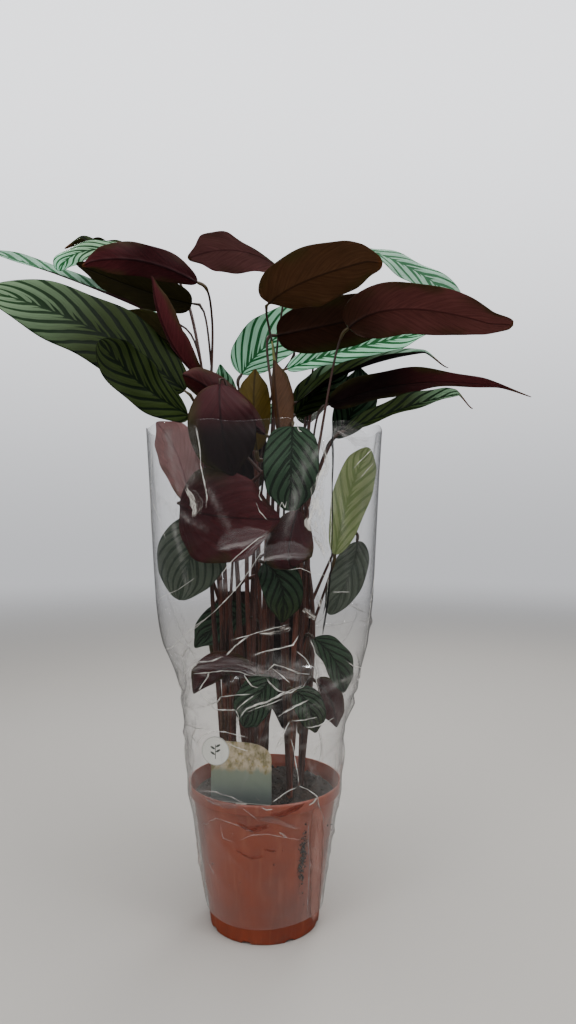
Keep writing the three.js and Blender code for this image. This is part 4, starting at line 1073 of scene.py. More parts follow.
def plateBetween(flat, front, back):
    # a flat outline as a plate: front face, back face and the rim
    count = len(flat)
    points = np.concatenate([standCard(flat, front), standCard(flat, back)])
    ring = np.arange(count)
    rim = np.stack([ring, ring + count, np.roll(ring, -1) + count, np.roll(ring, -1)], 1)
    return points, ring[None], (ring[::-1] + count)[None], rim


def makeCardPrint():
    # cream above, grey green below, with soft leafy blots, and a plain sprig drawn on the badge
    material, tree, surface, _ = newMaterial("cardPrint")
    place = attribute(tree, "cardPlace", "Vector")
    x, z, badge = partsOf(tree, place)
    tones = {key: [tone(*value) for value in cardForm[key]] for key in ("upperTones", "lowerTones")}
    blots = noiseOf(tree, stretch(tree, place, (1.0, 0.6, 0.0)), cardForm["blots"][0], 5.0, 0.68)
    flecks = soften(tree, noiseOf(tree, place, cardForm["blots"][1], 2.0), 0.58, 0.7, 0.0, 0.6)
    upper = mixTones(tree, soften(tree, blots, 0.4, 0.66), *tones["upperTones"][:2])
    upper = mixTones(tree, flecks, upper, tones["upperTones"][2])
    lower = mixTones(tree, soften(tree, z, 50.0, 8.0), *tones["lowerTones"])
    band = times(tree, calc(tree, "SUBTRACT", blots, 0.5), 30.0, z)
    colour = mixTones(tree, soften(tree, band, *cardForm["bandAt"]), lower, upper)
    bx, bz = (calc(tree, "SUBTRACT", way, middle) for way, middle in zip((x, z), cardForm["badge"]))
    ink = times(tree, *(soften(tree, calc(tree, "ABSOLUTE", way), *halves, 1.0, 0.0)  # the stem
                        for way, halves in zip((bx, calc(tree, "ADD", bz, 1.0)), cardForm["stemHalves"])))
    c, s = cardForm["leafTurn"]
    for side, rise in cardForm["leaves"]:  # each a slanted ellipse
        u, v = calc(tree, "ADD", bx, -cardForm["leafAway"] * side), calc(tree, "ADD", bz, -rise)
        p = times(tree, v, s * side, times(tree, u, c))
        q = times(tree, u, -s * side, times(tree, v, c))
        r = calc(tree, "ADD", *(calc(tree, "POWER", calc(tree, "DIVIDE", way, half), 2.0)
                                for way, half in zip((p, q), cardForm["leafHalves"])))
        ink = calc(tree, "MAXIMUM", ink, soften(tree, r, 0.85, 1.1, 1.0, 0.0))
    face = mixTones(tree, ink, tone(*cardForm["badgeTone"]), tone(*cardForm["inkTone"]))
    ring = calc(tree, "SQRT", calc(tree, "ADD", times(tree, bx, bx), times(tree, bz, bz)))
    edge = times(tree, soften(tree, ring, *cardForm["badgeEdge"]), 0.5)
    colour = mixTones(tree, badge, colour, mixTones(tree, edge, face, tone(*cardForm["ringTone"])))
    colour = mixTones(tree, soften(tree, z, *cardForm["footAt"]), colour, tone(*cardForm["footTone"]))
    dress(tree, surface, blotched(tree, colour, 40.0, 0.12), 0.32, 0.5,
          noiseOf(tree, objectPlace(tree), 600.0, 2.0), (0.0002, 0.2))
    surface.inputs["Coat Weight"].default_value = 0.3
    return material


def makeCard():
    badgeTurn = np.linspace(0, fullTurn, 72, endpoint=False)
    flatBadge = cardForm["badge"] + cardForm["badgeRadius"] * np.stack([np.cos(badgeTurn), np.sin(badgeTurn)], 1)
    half = cardForm["thick"] / 2
    plate, disc = plateBetween(cardOutline(), -half, half), plateBetween(flatBadge, -half - 0.5, half + 0.1)
    shift = len(plate[0])
    faceSets = [plate[1], plate[2], disc[1] + shift, disc[2] + shift, plate[3], disc[3] + shift]
    piece = buildPiece("care_card_plate", np.concatenate([plate[0], disc[0]]), faceSets, [makeCardPrint()],
                       flat=True)
    flats = [cardOutline(), cardOutline(), flatBadge, flatBadge]
    flags = np.repeat([0.0, 0.0, 1.0, 1.0], [len(f) for f in flats])
    addLayers(piece, cardPlace=np.concatenate([np.concatenate(flats), flags[:, None]], 1))
    return piece


card = makeCard()
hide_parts("care_card")
pieces.append((card, "card"))
print("card made")

# Film sleeve: hugs the pot's rim, hangs free below it and widens to an oval above.
# Each row holds a height, the half width from left to right and the half depth.
sleeveForm = {
    "rows": [(24, 80.4, 80.4), (60, 85.4, 85.4), (110, 93, 93), (150, 99.6, 99.6), (176, 105.9, 105.9),
             (191, 106, 106), (222, 107, 106), (250, 108, 106), (280, 113, 110), (310, 121, 114),
             (345, 132, 120), (380, 141, 126), (440, 148, 131), (520, 152, 136), (600, 156, 139),
             (668, 160, 141)],
    "around": 216, "up": 156, "thick": 0.35, "seed": 21,
    "power": (1, 0.84), "powerBetween": (240, 420),  # 1 is round, less is squarer
    "dent": (13, 0.5, 335, 40),  # pressed in at the left: depth, spread in radians, height and its spread
    "rim": (184, 9, 0.85), "edgeWaves": (2, 1.2), "highlight": (0.4, 0.34),
    "brim": (640, 668), "hem": (50, 24), "shallow": (230, -0.3),  # below 230 no fold is pressed in past 0.3
    "sight": (880, 1120, 0.5),  # the depths from the camera at which a line of sight is tried
    "bandWaves": (0.1, 0.06, 2.7), "bandTurns": (0.31, 0.23), "bandFade": 0.16,  # a mark's edges and ends
    "loose": {"shine": 0.3, "lowShine": 0.75, "rise": 0.8, "low": 190, "front": (-165, -15), "curl": 6},
    # a mark's section: places across, and heights above the film
    "section": [(-1, 0.1), (-0.5, 0.35), (0, 0.45), (0.5, 0.35), (1, 0.1), (0.5, 0.08), (0, 0.06), (-0.5, 0.08)],
    "rough": 0.07, "index": 1.45, "mirror": 1.5, "dustTone": (214, 212, 208), "relief": (0.006, 0.6),
    # the last haze is a painted highlight: paler haze on the bright side of each fold
    "haze": (0.006, 0.05), "edgeHaze": (0.04, 0.45), "foldHighlightHaze": (0.03, 0.3),
    "kinds": {  # dull and bright tone, least and most alpha, length of the streaks, how far it fades to one side
        # line, faint and glare are painted light: white glints along creases and painted reflections of lamps
        "line": ((190, 186, 178), (255, 253, 246), 0.1, 1.0, 10.0, 0.0),
        "glare": ((112, 108, 102), (250, 246, 236), 0.1, 0.72, 22.0, 0.8),
        "veil": ((150, 142, 142), (172, 164, 162), 0.1, 0.24, 70.0, 0.5),
        "milk": ((150, 144, 144), (196, 190, 188), 0.1, 0.27, 80.0, 0.5),
        "seam": ((16, 15, 15), (16, 15, 15), 0.6, 0.95, 12.0, 0.0),
        "cling": ((120, 34, 18), (120, 34, 18), 0.15, 0.5, 14.0, 0.4),
        "flap": ((190, 136, 122), (200, 152, 140), 0.18, 0.34, 90.0, -0.5),
        "faint": ((190, 180, 176), (210, 202, 198), 0.06, 0.4, 12.0, 0.0),
    },
}


def drawFolds():
    # rows of angle, height, direction, half length, width, rise and shine; each zone has its own sort of fold
    draw = np.random.default_rng(sleeveForm["seed"])
    zones = [  # count, height middle and spread, direction middle and spread, length, width, rise
        (96, 322, 42, 4, 26, (18, 64), (4, 12), (-5.5, 6.5)),
        (30, 545, 80, 84, 22, (40, 110), (7, 18), (-2.2, 2.6)),
        (26, 225, 16, 88, 24, (14, 40), (4, 9), (1.0, 4.0)),
        (30, 100, 46, 10, 40, (20, 60), (4, 10), (0.6, 2.4)),
    ]
    rows = []
    for count, high, spread, direction, fan, lengths, widths, rises in zones:
        for _ in range(count):
            rows.append((draw.uniform(-180, 180), high + draw.normal() * spread, direction + draw.normal() * fan,
                         draw.uniform(*lengths), draw.uniform(*widths), draw.uniform(*rises),
                         draw.uniform(0, 1)))
    return np.array(rows)


folds = drawFolds()

# What the front view shows on the film: places in the picture, 576 by 1024, each with a half width in mm.
# Lines are painted glints along sharp creases, faint ones are dimmer painted glints on the film over the pot, glare
# is a painted reflection where a flat stretch mirrors a lamp, veil and milk are film that lies double, seam is
# where it is welded, flap is its loose edge, and cling is where it sticks to the pot without a haze.
filmMarks = {
    "line": {
        "creaseGlintLeft": [(195, 425, 0.7), (198, 437, 0.9), (200, 450, 0.6), (201, 465, 0.7), (204, 480, 1),
            (207, 496, 1.1), (206, 509, 0.6)],
        "seamLine": [(332, 461, 0.3), (331, 490, 0.4), (331, 520, 0.4), (330, 550, 0.3), (328, 580, 0.3),
            (326, 606, 0.3)],
        "bandUpper": [(268, 532, 0.8), (258, 539, 0.4), (247, 548, 0.4), (236, 557, 0.5), (226, 568, 0.4),
            (218, 580, 0.5)],
        "bandLower": [(268, 541, 0.4), (259, 556, 0.3), (250, 570, 0.4), (240, 584, 0.5), (228, 598, 0.6),
            (215, 611, 0.3), (200, 624, 0.4), (185, 638, 0.3)],
        "smallArcs": [(256, 502, 0.3), (260, 512, 0.3), (267, 520, 0.3)],
        "smallArcsHigh": [(261, 488, 0.3), (259, 496, 0.3), (262, 501, 0.4)],
        "hatchRight": [(278, 510, 0.3), (282, 502, 0.4), (285, 508, 0.3), (287, 500, 0.3)],
        "milkEdge": [(288, 570, 0.3), (300, 568, 0.4), (312, 573, 0.3), (328, 576, 0.3)],
        "doubleLine": [(226, 656, 0.7), (232, 649, 0.9), (239, 643, 0.9), (250, 635, 0.7)],
        "longFaint": [(229, 641, 0.3), (250, 635, 0.4), (270, 629, 0.4), (290, 624, 0.3)],
        "middleLine": [(252, 656, 0.5), (267, 651, 0.8), (281, 648, 0.9), (293, 645, 0.8), (300, 633, 0.4)],
        "bandEdgeLeft": [(184, 676, 0.6), (191, 668, 0.8), (200, 662, 0.9), (212, 661, 0.8), (224, 656, 0.6)],
        "bandEdgeLow": [(190, 674, 0.4), (205, 673, 0.7), (222, 671, 0.6), (238, 672, 0.5), (255, 676, 0.4)],
        "bandEdgeRight": [(266, 672, 0.8), (274, 664, 0.7), (286, 668, 0.8), (298, 673, 0.9), (311, 674, 0.6)],
        "bandInner": [(270, 667, 0.5), (282, 676, 0.6), (290, 683, 0.5)],
        "polygonLeft": [(209, 672, 0.8), (204, 681, 0.8), (199, 691, 0.8)],
        "polygonDown": [(199, 691, 0.8), (207, 701, 0.8), (215, 710, 1)],
        "polygonFoot": [(215, 710, 1), (225, 710, 0.8), (236, 710, 0.9)],
        "polygonTail": [(236, 710, 0.8), (238, 715, 0.6), (239, 720, 0.4)],
        "polygonUp": [(236, 710, 0.7), (245, 702, 0.6), (255, 695, 0.5)],
        "polygonTop": [(216, 704, 0.5), (221, 697, 0.7), (235, 695, 0.5), (253, 694, 0.6)],
        "longGlint": [(239, 719, 0.6), (246, 709, 1), (264, 703, 1.4), (283, 694, 1.5), (296, 689, 0.7),
            (304, 683, 0.4)],
        "longGlintLow": [(246, 712, 0.4), (265, 706, 0.6), (284, 698, 0.6)],
        "rightGlint": [(276, 718, 0.3), (286, 711, 1.3), (298, 705, 1.5), (310, 699, 0.5)],
        "arcOne": [(244, 672, 0.5), (247, 680, 0.7), (252, 686, 0.6), (259, 688, 0.6)],
        "arcTwo": [(266, 677, 0.5), (270, 684, 0.7), (278, 691, 0.8), (291, 693, 0.6), (302, 687, 0.5),
            (309, 679, 0.3)],
        "arcRight": [(296, 651, 0.5), (303, 656, 0.6), (308, 662, 0.6), (311, 669, 0.4)],
        "pleatRightLine": [(309, 637, 0.4), (314, 648, 0.5), (316, 662, 0.6), (316, 680, 0.5), (320, 694, 0.4)],
        "cornerLine": [(345, 660, 0.3), (353, 666, 0.5), (364, 672, 0.8), (361, 684, 0.5), (358, 687, 0.4)],
        "cardGlintHigh": [(275, 752, 0.5), (279, 740, 0.8), (285, 729, 0.9), (290, 721, 0.7)],
        "cardGlintTop": [(290, 721, 0.5), (305, 720, 0.6), (318, 717, 0.4)],
        "shortRight": [(306, 728, 0.5), (318, 726, 0.9), (326, 722, 0.8), (335, 717, 0.4)],
        "overBadge": [(196, 745, 0.4), (202, 736, 0.5), (212, 731, 0.6), (226, 732, 0.5), (251, 738, 0.5)],
        "overCard": [(224, 741, 0.3), (236, 747, 0.5), (248, 751, 0.5)],
        "foldFront": [(291, 738, 0.4), (294, 752, 0.5), (296, 768, 0.5), (298, 784, 0.6)],
        "glintRight": [(314, 755, 0.4), (317, 746, 0.9), (321, 738, 0.8)],
        "rimGlint": [(272, 802, 0.4), (284, 794, 0.7), (297, 785, 0.4)],
        "rimGlintRight": [(297, 785, 0.3), (307, 789, 0.4), (317, 796, 0.8), (320, 811, 0.4)],
        "rimSparkMid": [(261, 807, 0.3), (267, 810, 0.7), (273, 809, 0.3)],
        "leftEdgeA": [(151, 424, 0.3), (152, 470, 0.3), (151, 520, 0.3), (151, 570, 0.3), (152, 620, 0.3),
            (155, 655, 0.3)],
        "leftEdgeB": [(152, 500, 0.3), (160, 520, 0.3), (166, 540, 0.3)],
        "leftHatch": [(158, 600, 0.2), (178, 590, 0.3), (200, 575, 0.2)],
        "leftHatchLow": [(158, 655, 0.3), (172, 648, 0.5), (190, 630, 0.4), (210, 616, 0.3)],
        "leftTip": [(183, 660, 0.4), (184, 668, 0.8), (185, 676, 0.5)],
        "rightEdge": [(383, 434, 0.3), (383, 470, 0.3), (381, 520, 0.3), (376, 560, 0.3), (371, 600, 0.3),
            (366, 640, 0.3), (362, 660, 0.3)],
        "rightShine": [(352, 470, 0.2), (360, 461, 0.4), (369, 452, 0.5), (376, 446, 0.3)],
        "rightShineLow": [(358, 480, 0.2), (367, 470, 0.4), (374, 462, 0.3)],
        "rightHatch": [(332, 592, 0.3), (342, 592, 0.5), (350, 592, 0.3)],
        "topFold": [(296, 424, 0.4), (299, 431, 0.6), (302, 432, 0.3)],
    },
    "glare": {
        "glareLeft": [(186, 482, 0.9), (188, 490, 3.6), (194, 497, 8.1), (197, 504, 9.9), (196, 511, 6.3),
            (193, 518, 1.8)],
        "panelRight": [(325, 429, 0.9), (323, 444, 3.6), (327, 458, 2.7), (327, 467, 3.6), (321, 478, 6.3),
            (318, 490, 9), (317, 507, 9), (315, 523, 12.6), (321, 538, 8.1), (325, 551, 5.4), (325, 563, 0.9)],
        "glareMid": [(258, 632, 2.7), (268, 631, 5.4), (280, 630, 5.4), (291, 627, 2.7)],
        "glareMidRight": [(303, 609, 2.7), (310, 614, 4.5), (317, 618, 3.6)],
        "glareSeam": [(317, 594, 1.8), (320, 600, 4.5), (320, 607, 3.6)],
        "cornerTip": [(358, 682, 0.9), (361, 677, 3.6), (364, 671, 1.8)],
        "rimSpark": [(308, 805, 0.9), (313, 802, 2.2), (317, 797, 1.8)],
    },
    "veil": {
        "milkLeft": [(177, 424, 29.9), (178, 440, 31.2), (181, 460, 28.6), (186, 478, 22.1), (190, 490, 13)],
        "bandMilk": [(268, 536, 1.3), (262, 544, 3.9), (252, 556, 7.8), (240, 570, 10.4), (228, 584, 10.4),
            (220, 594, 3.9)],
        "pleatRight": [(309, 636, 2.6), (314, 646, 3.9), (317, 658, 3.9), (317, 675, 3.9), (320, 692, 2.6)],
        "potMilk": [(258, 820, 1.3), (268, 819, 3.9), (280, 822, 3.9), (300, 829, 1.3)],
    },
    "seam": {
        "seamDark": [(333, 421, 1.4), (333, 440, 1.6), (333, 461, 1.4), (332, 490, 0.8), (332, 530, 0.7),
            (331, 570, 0.8), (328, 600, 1.5), (324, 625, 1.4), (322, 640, 0.5)],
        "seamLow": [(327, 585, 0.5), (326, 600, 0.8), (323, 615, 0.5)],
    },
    "milk": {
        "panelTop": [(336, 428, 3.6), (347, 433, 8.4), (358, 438, 10.8), (370, 440, 8.4)],
        "milkMiddle": [(214, 550, 2.4), (226, 543, 9.6), (240, 538, 13.2), (254, 536, 10.8), (266, 534, 6),
            (272, 532, 1.2)],
        "milkRight": [(256, 560, 3.6), (268, 554, 9.6), (284, 550, 12), (300, 552, 9.6), (312, 553, 2.4)],
        "crumpleBand": [(183, 674, 3.6), (195, 665, 6), (208, 663, 8.4), (222, 663, 9.6), (236, 663, 7.2),
            (250, 667, 8.4), (264, 671, 7.2), (280, 672, 8.4), (296, 675, 7.2), (312, 678, 6)],
        "rimPatch": [(203, 796, 2.4), (216, 801, 6), (230, 804, 6), (240, 806, 2.4)],
    },
    "faint": {
        "rimFold": [(198, 791, 0.7), (207, 791, 1.1), (216, 792, 1), (232, 797, 0.8), (248, 805, 0.6)],
        "vLeft": [(241, 807, 0.4), (249, 813, 0.4), (258, 820, 0.6)],
        "vRight": [(253, 793, 0.3), (257, 798, 0.4), (261, 802, 0.3)],
        "potSpark": [(279, 832, 0.7), (283, 834, 1.7), (287, 838, 0.8)],
        "potArcHigh": [(204, 828, 0.4), (210, 821, 0.7), (217, 818, 0.6), (231, 823, 0.6), (246, 828, 0.6),
            (255, 833, 0.4)],
        "potArcMiddle": [(237, 841, 0.3), (252, 835, 0.6), (267, 834, 0.6), (289, 838, 0.4), (302, 840, 0.3)],
        "potArcLeft": [(220, 825, 0.3), (223, 838, 0.6), (234, 842, 0.4)],
        "potLeftLine": [(206, 853, 0.4), (210, 866, 0.8), (216, 876, 0.6)],
        "potLeftHigh": [(203, 824, 0.6), (204, 834, 0.7), (207, 845, 0.4)],
        "flapLine": [(315, 800, 0.6), (321, 812, 0.6), (324, 826, 0.6), (324, 850, 0.4), (322, 880, 0.4),
            (319, 914, 0.4)],
        "flapInner": [(309, 815, 0.6), (308, 838, 0.7), (309, 870, 0.9), (308, 895, 0.8), (307, 920, 0.6)],
    },
    "flap": {
        "flapVeil": [(316, 800, 3), (317, 812, 9), (317, 830, 12), (317, 860, 12.5), (316, 890, 12),
            (315, 914, 10), (315, 922, 6)],
    },
    "cling": {
        "clingHigh": [(236, 822, 1.2), (246, 828, 3.6), (256, 829, 4.8), (270, 825, 2.4)],
        "clingLow": [(235, 849, 1.2), (243, 854, 1.7), (252, 858, 1.9), (265, 856, 1.4)],
        "clingSmall": [(264, 849, 1), (270, 851, 1.7), (276, 851, 1)],
        "clingRim": [(268, 815, 1.2), (282, 814, 3.6), (296, 808, 3.6), (306, 802, 1.2)],
    },
}


def halvesAt(height):
    # half the width and half the depth of the sleeve
    rows = np.array(sleeveForm["rows"], float)
    return np.interp(height, rows[:, 0], rows[:, 1]), np.interp(height, rows[:, 0], rows[:, 2])


def powerAt(height):
    first, last = sleeveForm["power"]
    return first + (last - first) * ease(*sleeveForm["powerBetween"], height)


def girthAt(height):
    return sum(halvesAt(height)) / 2


def foldPlaces(angle, height):
    # for each fold, the distances along it and off its line, and how it fades to its ends
    for at, high, direction, long, wide, rise, shine in folds:
        turn = (angle - math.radians(at) + math.pi) % fullTurn - math.pi
        u, v = girthAt(height) * turn, height - high
        c, s = math.cos(math.radians(direction)), math.sin(math.radians(direction))
        yield v * c - u * s, np.clip(1 - ((u * c + v * s) / long) ** 2, 0, 1), wide, rise, shine


def foldRise(angle, height):
    # the sum of tent ridges: 1 - |distance| / width
    return sum(rise * np.clip(1 - np.abs(off) / wide, 0, 1) * fade
               for off, fade, wide, rise, _ in foldPlaces(angle, height))


def foldHighlightAt(angle, height):
    # painted highlight: how much each place lies on the bright side of a fold, from 0 to 1
    total, (shift, narrow) = np.zeros_like(angle), sleeveForm["highlight"]
    for off, fade, wide, _, shine in foldPlaces(angle, height):
        total = np.maximum(total, shine * np.exp(-((off - shift * wide) / (narrow * wide)) ** 2) * fade)
    return total


def sleeveAt(angle, height, inset=0.0):
    # an oval whose sides flatten as it widens, with the folds' rise added to both half axes
    (wide, deep), power = halvesAt(height), powerAt(height)
    across = np.sign(np.cos(angle)) * np.abs(np.cos(angle)) ** power
    along = np.sign(np.sin(angle)) * np.abs(np.sin(angle)) ** power
    depth, spread, high, reach = sleeveForm["dent"]
    dent = depth * np.exp(-((angle % fullTurn - math.pi) / spread) ** 2 - ((height - high) / reach) ** 2)
    rise = foldRise(angle, height) - dent
    rim, near, share = sleeveForm["rim"]
    calm = 1 - share * np.exp(-((height - rim) / near) ** 2)  # the folds die out where the film lies on the rim
    below, least = sleeveForm["shallow"]
    rise = np.where(height < below, np.maximum(rise, least), rise) * calm - inset
    upper, lower = sleeveForm["edgeWaves"]
    height = height + ease(*sleeveForm["brim"], height) * upper * np.sin(12 * angle) - (
        ease(*sleeveForm["hem"], height) * lower * np.sin(3 * angle + 1))
    return np.stack([(wide + rise) * across, (deep + rise) * along, height], -1)


def onSleeve(x, y):
    # the angle and height at which a line of sight through a place of the front view meets the sleeve
    eye, (width, tall) = np.array(cameraView["place"]) / mm, cameraView["picture"]
    scale = tall * cameraView["lens"] / cameraView["sensor"]
    depth = np.arange(*sleeveForm["sight"])
    sideways, height = eye[0] + (x - width / 2) * depth / scale, eye[2] - (y - tall / 2) * depth / scale
    before = np.minimum(eye[1] + depth, 0)
    (wide, deep), power = halvesAt(height), 2 / powerAt(height)
    u, v = np.abs(sideways) / wide, np.abs(before) / deep
    inside = u ** power + v ** power
    at = np.argmax(inside <= 1) if (inside <= 1).any() else np.argmin(inside)
    cosine = np.sign(sideways[at]) * min(u[at], 1) ** (power[at] / 2)
    return -math.acos(cosine), height[at]


def looseGlintLines():
    # painted glints along creases of the sides and the back, on the sharpest and brightest of the folds: angle in
    # degrees, height and half width
    marks, loose = [], sleeveForm["loose"]
    for at, high, direction, long, _, rise, shine in folds:
        dull = shine < loose["shine"] or high < loose["low"] and shine < loose["lowShine"]
        seenInFront = loose["front"][0] < at < loose["front"][1]
        if dull or abs(rise) < loose["rise"] or seenInFront or high > sleeveForm["brim"][0]:
            continue
        u = np.linspace(-0.85, 0.85, 5)
        c, s = math.cos(math.radians(direction)), math.sin(math.radians(direction))
        curl = loose["curl"] * u * u
        marks.append(np.stack([at + (u * long * c + s * curl) / 2.1,
                               np.clip(high + u * long * s + c * curl, 20, 664),
                               (0.15 + 0.5 * shine) * (1 - u * u) + 0.12], 1))
    return marks


def ribbonOnFilm(mark, seen):
    # a thin closed band along a mark that is seen in the picture, or given by its angles: arched above, flat below,
    # with gently waved edges; and for each of its points the way along in mm, the place across from -1 to 1 and a
    # share that fades to both ends
    places = np.array([onSleeve(x, y) + (half,) if seen else (math.radians(x), y, half) for x, y, half in mark])
    steps = max(8, 5 * len(places))
    at = np.linspace(0, len(places) - 1, steps)
    angle, height, half = placesOn(places, np.arange(len(places)), at).T
    girth = girthAt(height)
    run = unit(np.stack([np.gradient(angle) * girth, np.gradient(height)], 1))
    way = np.concatenate([[0], np.cumsum(np.hypot(np.diff(angle) * girth[1:], np.diff(height)))])
    start = abs(mark[0][0] * 31 + mark[0][1] * 7)
    across, lift = np.array(sleeveForm["section"]).T
    broad, narrow, finer = sleeveForm["bandWaves"]
    waved = [1 + broad * np.sin(way * f + start) + narrow * np.sin(way * finer * f + 2 * start)
             for f in sleeveForm["bandTurns"]]
    wide = half[:, None] * np.where(across < 0, waved[0][:, None], waved[1][:, None]) * across
    line = sleeveAt(angle[:, None] - wide * run[:, 1:] / girth[:, None], height[:, None] + wide * run[:, :1])
    line = line + unit(line * (1, 1, 0)) * lift[:, None]
    sides = len(across)
    ring, _, quads = rings(steps, sides)
    fade = sleeveForm["bandFade"]
    ends = ease(0, fade, at / at[-1]) * ease(1, 1 - fade, at / at[-1])
    spot = np.stack([np.repeat(way + start % 97, sides), np.tile(across, steps), np.repeat(ends, sides)], 1)
    return line.reshape(-1, 3), [quads, np.stack([ring[0][::-1], ring[-1]])], spot


def makeFilm():
    # clear film: its outer face mirrors by Fresnel and the rest goes through, with a light haze of dust,
    # and a painted highlight of paler haze on the bright side of each fold
    material, tree, surface, end = newMaterial("clearFilm")
    place = objectPlace(tree)
    crinkle = noiseOf(tree, place, 26.0, 2.0, 0.5)
    gloss = node(tree, "BsdfGlossy", {"Color": (1, 1, 1), "Roughness": sleeveForm["rough"]})
    wire(tree, gloss.inputs["Normal"], bump(tree, crinkle, *sleeveForm["relief"]))
    clear = node(tree, "BsdfTransparent", {"Color": (1, 1, 1)})
    front = rest(tree, node(tree, "NewGeometry").outputs["Backfacing"])
    mirror = times(tree, node(tree, "Fresnel", {"IOR": sleeveForm["index"]}).outputs[0],
                   times(tree, front, sleeveForm["mirror"]))
    shine = node(tree, "MixShader", {0: mirror, 1: clear.outputs[0], 2: gloss.outputs[0]})
    height = partsOf(tree, place)[2]
    dust = soften(tree, noiseOf(tree, place, 9.0, 3.0, 0.6), 0.35, 0.75, 0.4, 1.5)
    facing = node(tree, "LayerWeight", {"Blend": 0.5}).outputs["Facing"]
    bright = partsOf(tree, attribute(tree, "foldPlace", "Vector"))[0]
    uneven = soften(tree, noiseOf(tree, place, 60.0, 3.0, 0.6), 0.3, 0.7, 0.2, 1.4)
    haze = times(tree, soften(tree, height, 0.44, 0.2, *sleeveForm["haze"]), dust)
    haze = times(tree, times(tree, facing, facing), soften(tree, height, 0.26, 0.18, *sleeveForm["edgeHaze"]), haze)
    # painted highlight: more haze on the bright side of each fold
    haze = times(tree, times(tree, bright, uneven), soften(tree, height, 0.18, 0.26, *sleeveForm["foldHighlightHaze"]), haze)
    dress(tree, surface, tone(*sleeveForm["dustTone"]), 0.6, 0.1)
    both = node(tree, "MixShader", {0: times(tree, haze, front), 1: shine.outputs[0], 2: surface.outputs[0]})
    wire(tree, end.inputs[0], both.outputs[0])
    return material


def makeCreaseShine(kind):
    # the film seen where it is creased, doubled, welded or stuck, with painted glints and painted lamp reflections
    # on the
    # creases: streaks that run along the mark
    dull, bright, low, high, streak, side = sleeveForm["kinds"][kind]
    material, tree, surface, _ = newMaterial(kind + "OfFilm")
    spot = attribute(tree, "markPlace", "Vector")
    _, across, fade = partsOf(tree, spot)
    streaks = noiseOf(tree, stretch(tree, spot, (1 / streak, 1.5, 0.0)), 1.0, 2.0, Distortion=1.2)
    strong = soften(tree, streaks, 0.4, 0.66)
    dress(tree, surface, mixTones(tree, strong, tone(*dull), tone(*bright)), 0.35)
    solid = times(tree, times(tree, strong, high - low, low), times(tree, across, -0.5 * side, 1 - 0.5 * side))
    wire(tree, surface.inputs["Alpha"], times(tree, solid, fade))
    return material


def makeSleeve():
    around, up = sleeveForm["around"], sleeveForm["up"]
    # close rows at both edges, so that their walls don't shade the film beside them
    heights = np.concatenate([[24, 24.3], np.linspace(28, 664, up - 3), [667.7, 668]])
    turn, height = np.meshgrid(fullTurn * np.arange(around) / around, heights)
    outer, inner = sleeveAt(turn, height), sleeveAt(turn, height, sleeveForm["thick"])
    index, after, outside = rings(len(heights), around)
    under = index.size
    foot = np.stack([index[0], index[0] + under, after[0] + under, after[0]], 1)
    brim = np.stack([index[-1], after[-1], after[-1] + under, index[-1] + under], 1)
    piece = buildPiece("sleeve_film", np.concatenate([outer.reshape(-1, 3), inner.reshape(-1, 3)]),
                       [outside, outside[:, ::-1] + under, foot, brim], [makeFilm()])
    # painted highlight: how far each point lies on the bright side of a fold
    bright = foldHighlightAt(turn, height).ravel()
    addLayers(piece, foldPlace=np.tile(bright[:, None], (2, 3)))
    return piece


# painted glints and painted lamp reflections on the film, with its doubled, welded and stuck places, as thin bands
# on it
def makeGlintsAndMarks():
    points, spots, faceSets, slots, start = [], [], [], [], 0
    kinds = list(sleeveForm["kinds"])
    bands = [(kind, mark, True) for kind, marks in filmMarks.items() for mark in marks.values()]
    lines = len(filmMarks["line"])
    bands[lines:lines] = [("line", mark, False) for mark in looseGlintLines()]
    for kind, mark, seen in bands:
        line, faces, spot = ribbonOnFilm(mark, seen)
        points.append(line)
        spots.append(spot)
        faceSets += [face + start for face in faces]
        slots += [kinds.index(kind)] * sum(len(face) for face in faces)
        start += len(line)
    piece = buildPiece("sleeve_glints_and_marks", np.concatenate(points), faceSets,
                       [makeCreaseShine(kind) for kind in kinds], slots)
    addLayers(piece, markPlace=np.concatenate(spots))
    return piece


for made in (makeSleeve(), makeGlintsAndMarks()):
    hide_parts("sleeve")
    pieces.append((made, "film"))
print("sleeve made")

for piece, slotName in pieces:
    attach(piece, "root")

# Floor and light
stageForm = {"radius": 7000, "rings": 28, "sides": 96, "fade": (1.6, 5.5), "tone": (188, 184, 178),
             "surround": (0.95, 0.96, 1.0), "fill": 0.42, "seen": (0.72, 2.1), "mirrored": 0.14}


def makeStage():
    # a pale round floor that fades into its pale surroundings
    sides, count = stageForm["sides"], stageForm["rings"]
    angle = fullTurn * np.arange(sides) / sides
    radius = stageForm["radius"] * (np.arange(1, count + 1) / count) ** 1.5
    out = radius[:, None]
    grid = np.stack([out * np.cos(angle), out * np.sin(angle), out * np.zeros(sides)], -1)
    index, after, quads = rings(count, sides)
    fan = np.stack([np.full(sides, index.size), index[0], after[0]], 1)
    material, tree, surface, end = newMaterial("studioFloor")
    mirrored = node(tree, "LightPath").outputs["Is Glossy Ray"]
    colour = mixTones(tree, times(tree, mirrored, 0.8), tone(*stageForm["tone"]), tone(0, 0, 0))
    dress(tree, surface, colour, 0.7, 0.1)
    away = node(tree, "VectorMath", {0: objectPlace(tree)}, operation="LENGTH").outputs["Value"]
    clear = node(tree, "BsdfTransparent", {"Color": (1, 1, 1)})
    faded = node(tree, "MixShader", {0: soften(tree, away, *stageForm["fade"]), 1: surface.outputs[0],
                                     2: clear.outputs[0]})
    wire(tree, end.inputs[0], faded.outputs[0])
    return buildPiece("studio_floor", np.concatenate([grid.reshape(-1, 3), [[0, 0, 0]]]), [quads[:, ::-1], fan],
                      [material])


floor = makeStage()

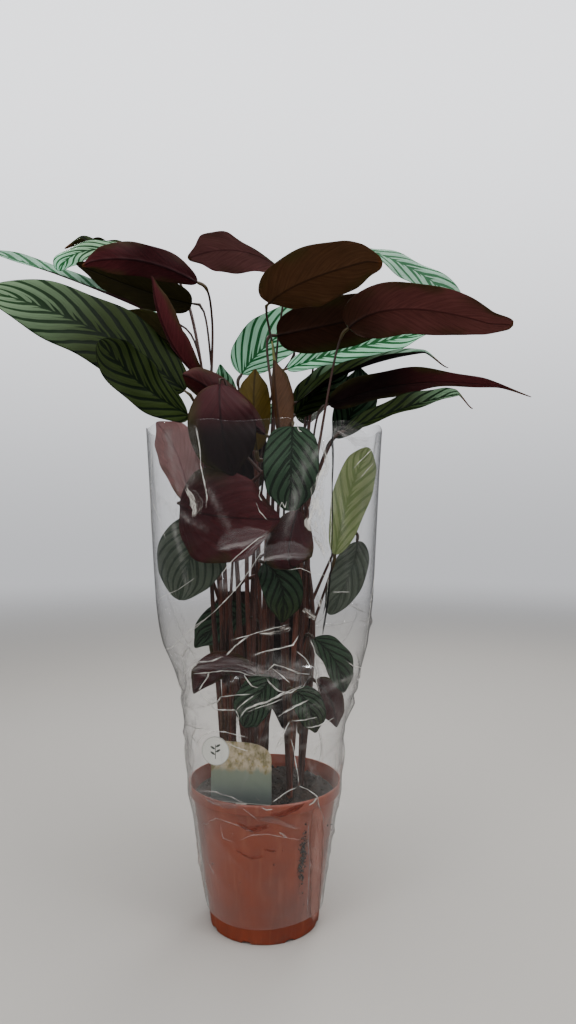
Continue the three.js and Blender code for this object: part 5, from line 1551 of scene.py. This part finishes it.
lights = {  # metres and watts
    "overhead": dict(place=(0.1, -0.3, 2.7), size=2.0, energy=70, aim=(0, 0, 0.4)),
    "left": dict(place=(-1.7, -1.9, 1.9), size=0.7, energy=14, aim=(0, 0, 0.5)),
    "right": dict(place=(1.9, -1.5, 1.6), size=0.6, energy=10, aim=(0, 0, 0.5)),
    "back": dict(place=(0.9, 2.1, 2.0), size=1.0, energy=22, aim=(0, 0, 0.6)),
    "glintLeft": dict(place=(-1.1, -1.3, 1.7), size=0.32, energy=26, aim=(0, 0, 0.45)),
    "glintRight": dict(place=(1.2, -1.0, 1.5), size=0.32, energy=26, aim=(0, 0, 0.45)),
    "glintTop": dict(place=(0.2, -0.9, 2.1), size=0.4, energy=26, aim=(0, 0, 0.4)),
    "glintBack": dict(place=(-0.8, 1.4, 1.8), size=0.4, energy=26, aim=(0, 0, 0.4)),
}
for lightName, setup in lights.items():
    lampData = bpy.data.lights.new(lightName, "AREA")
    lampData.size = setup["size"]
    lampData.energy = setup["energy"]
    lamp = bpy.data.objects.new(lightName, lampData)
    lamp.location = setup["place"]
    lamp.rotation_euler = (Vector(setup["aim"]) - Vector(setup["place"])).to_track_quat("-Z", "Y").to_euler()
    lamp.visible_diffuse = "glint" not in lightName  # the glints are only mirrored
    bpy.context.scene.collection.objects.link(lamp)
world = bpy.data.worlds.new("paleSurroundings")
world.use_nodes = True
skyTree = world.node_tree
sky = skyTree.nodes["Background"]
sky.inputs[0].default_value = stageForm["surround"] + (1,)
rays = node(skyTree, "LightPath").outputs
rise = partsOf(skyTree, node(skyTree, "TexCoord").outputs["Generated"])[2]
seen = soften(skyTree, rise, -0.1, 0.55, *stageForm["seen"])
strength = times(skyTree, rays["Is Camera Ray"], calc(skyTree, "SUBTRACT", seen, stageForm["fill"]),
                stageForm["fill"])
strength = times(skyTree, rays["Is Glossy Ray"], stageForm["mirrored"] - stageForm["fill"], strength)
wire(skyTree, sky.inputs[1], strength)
bpy.context.scene.world = world

print("pieces:", len(pieces))
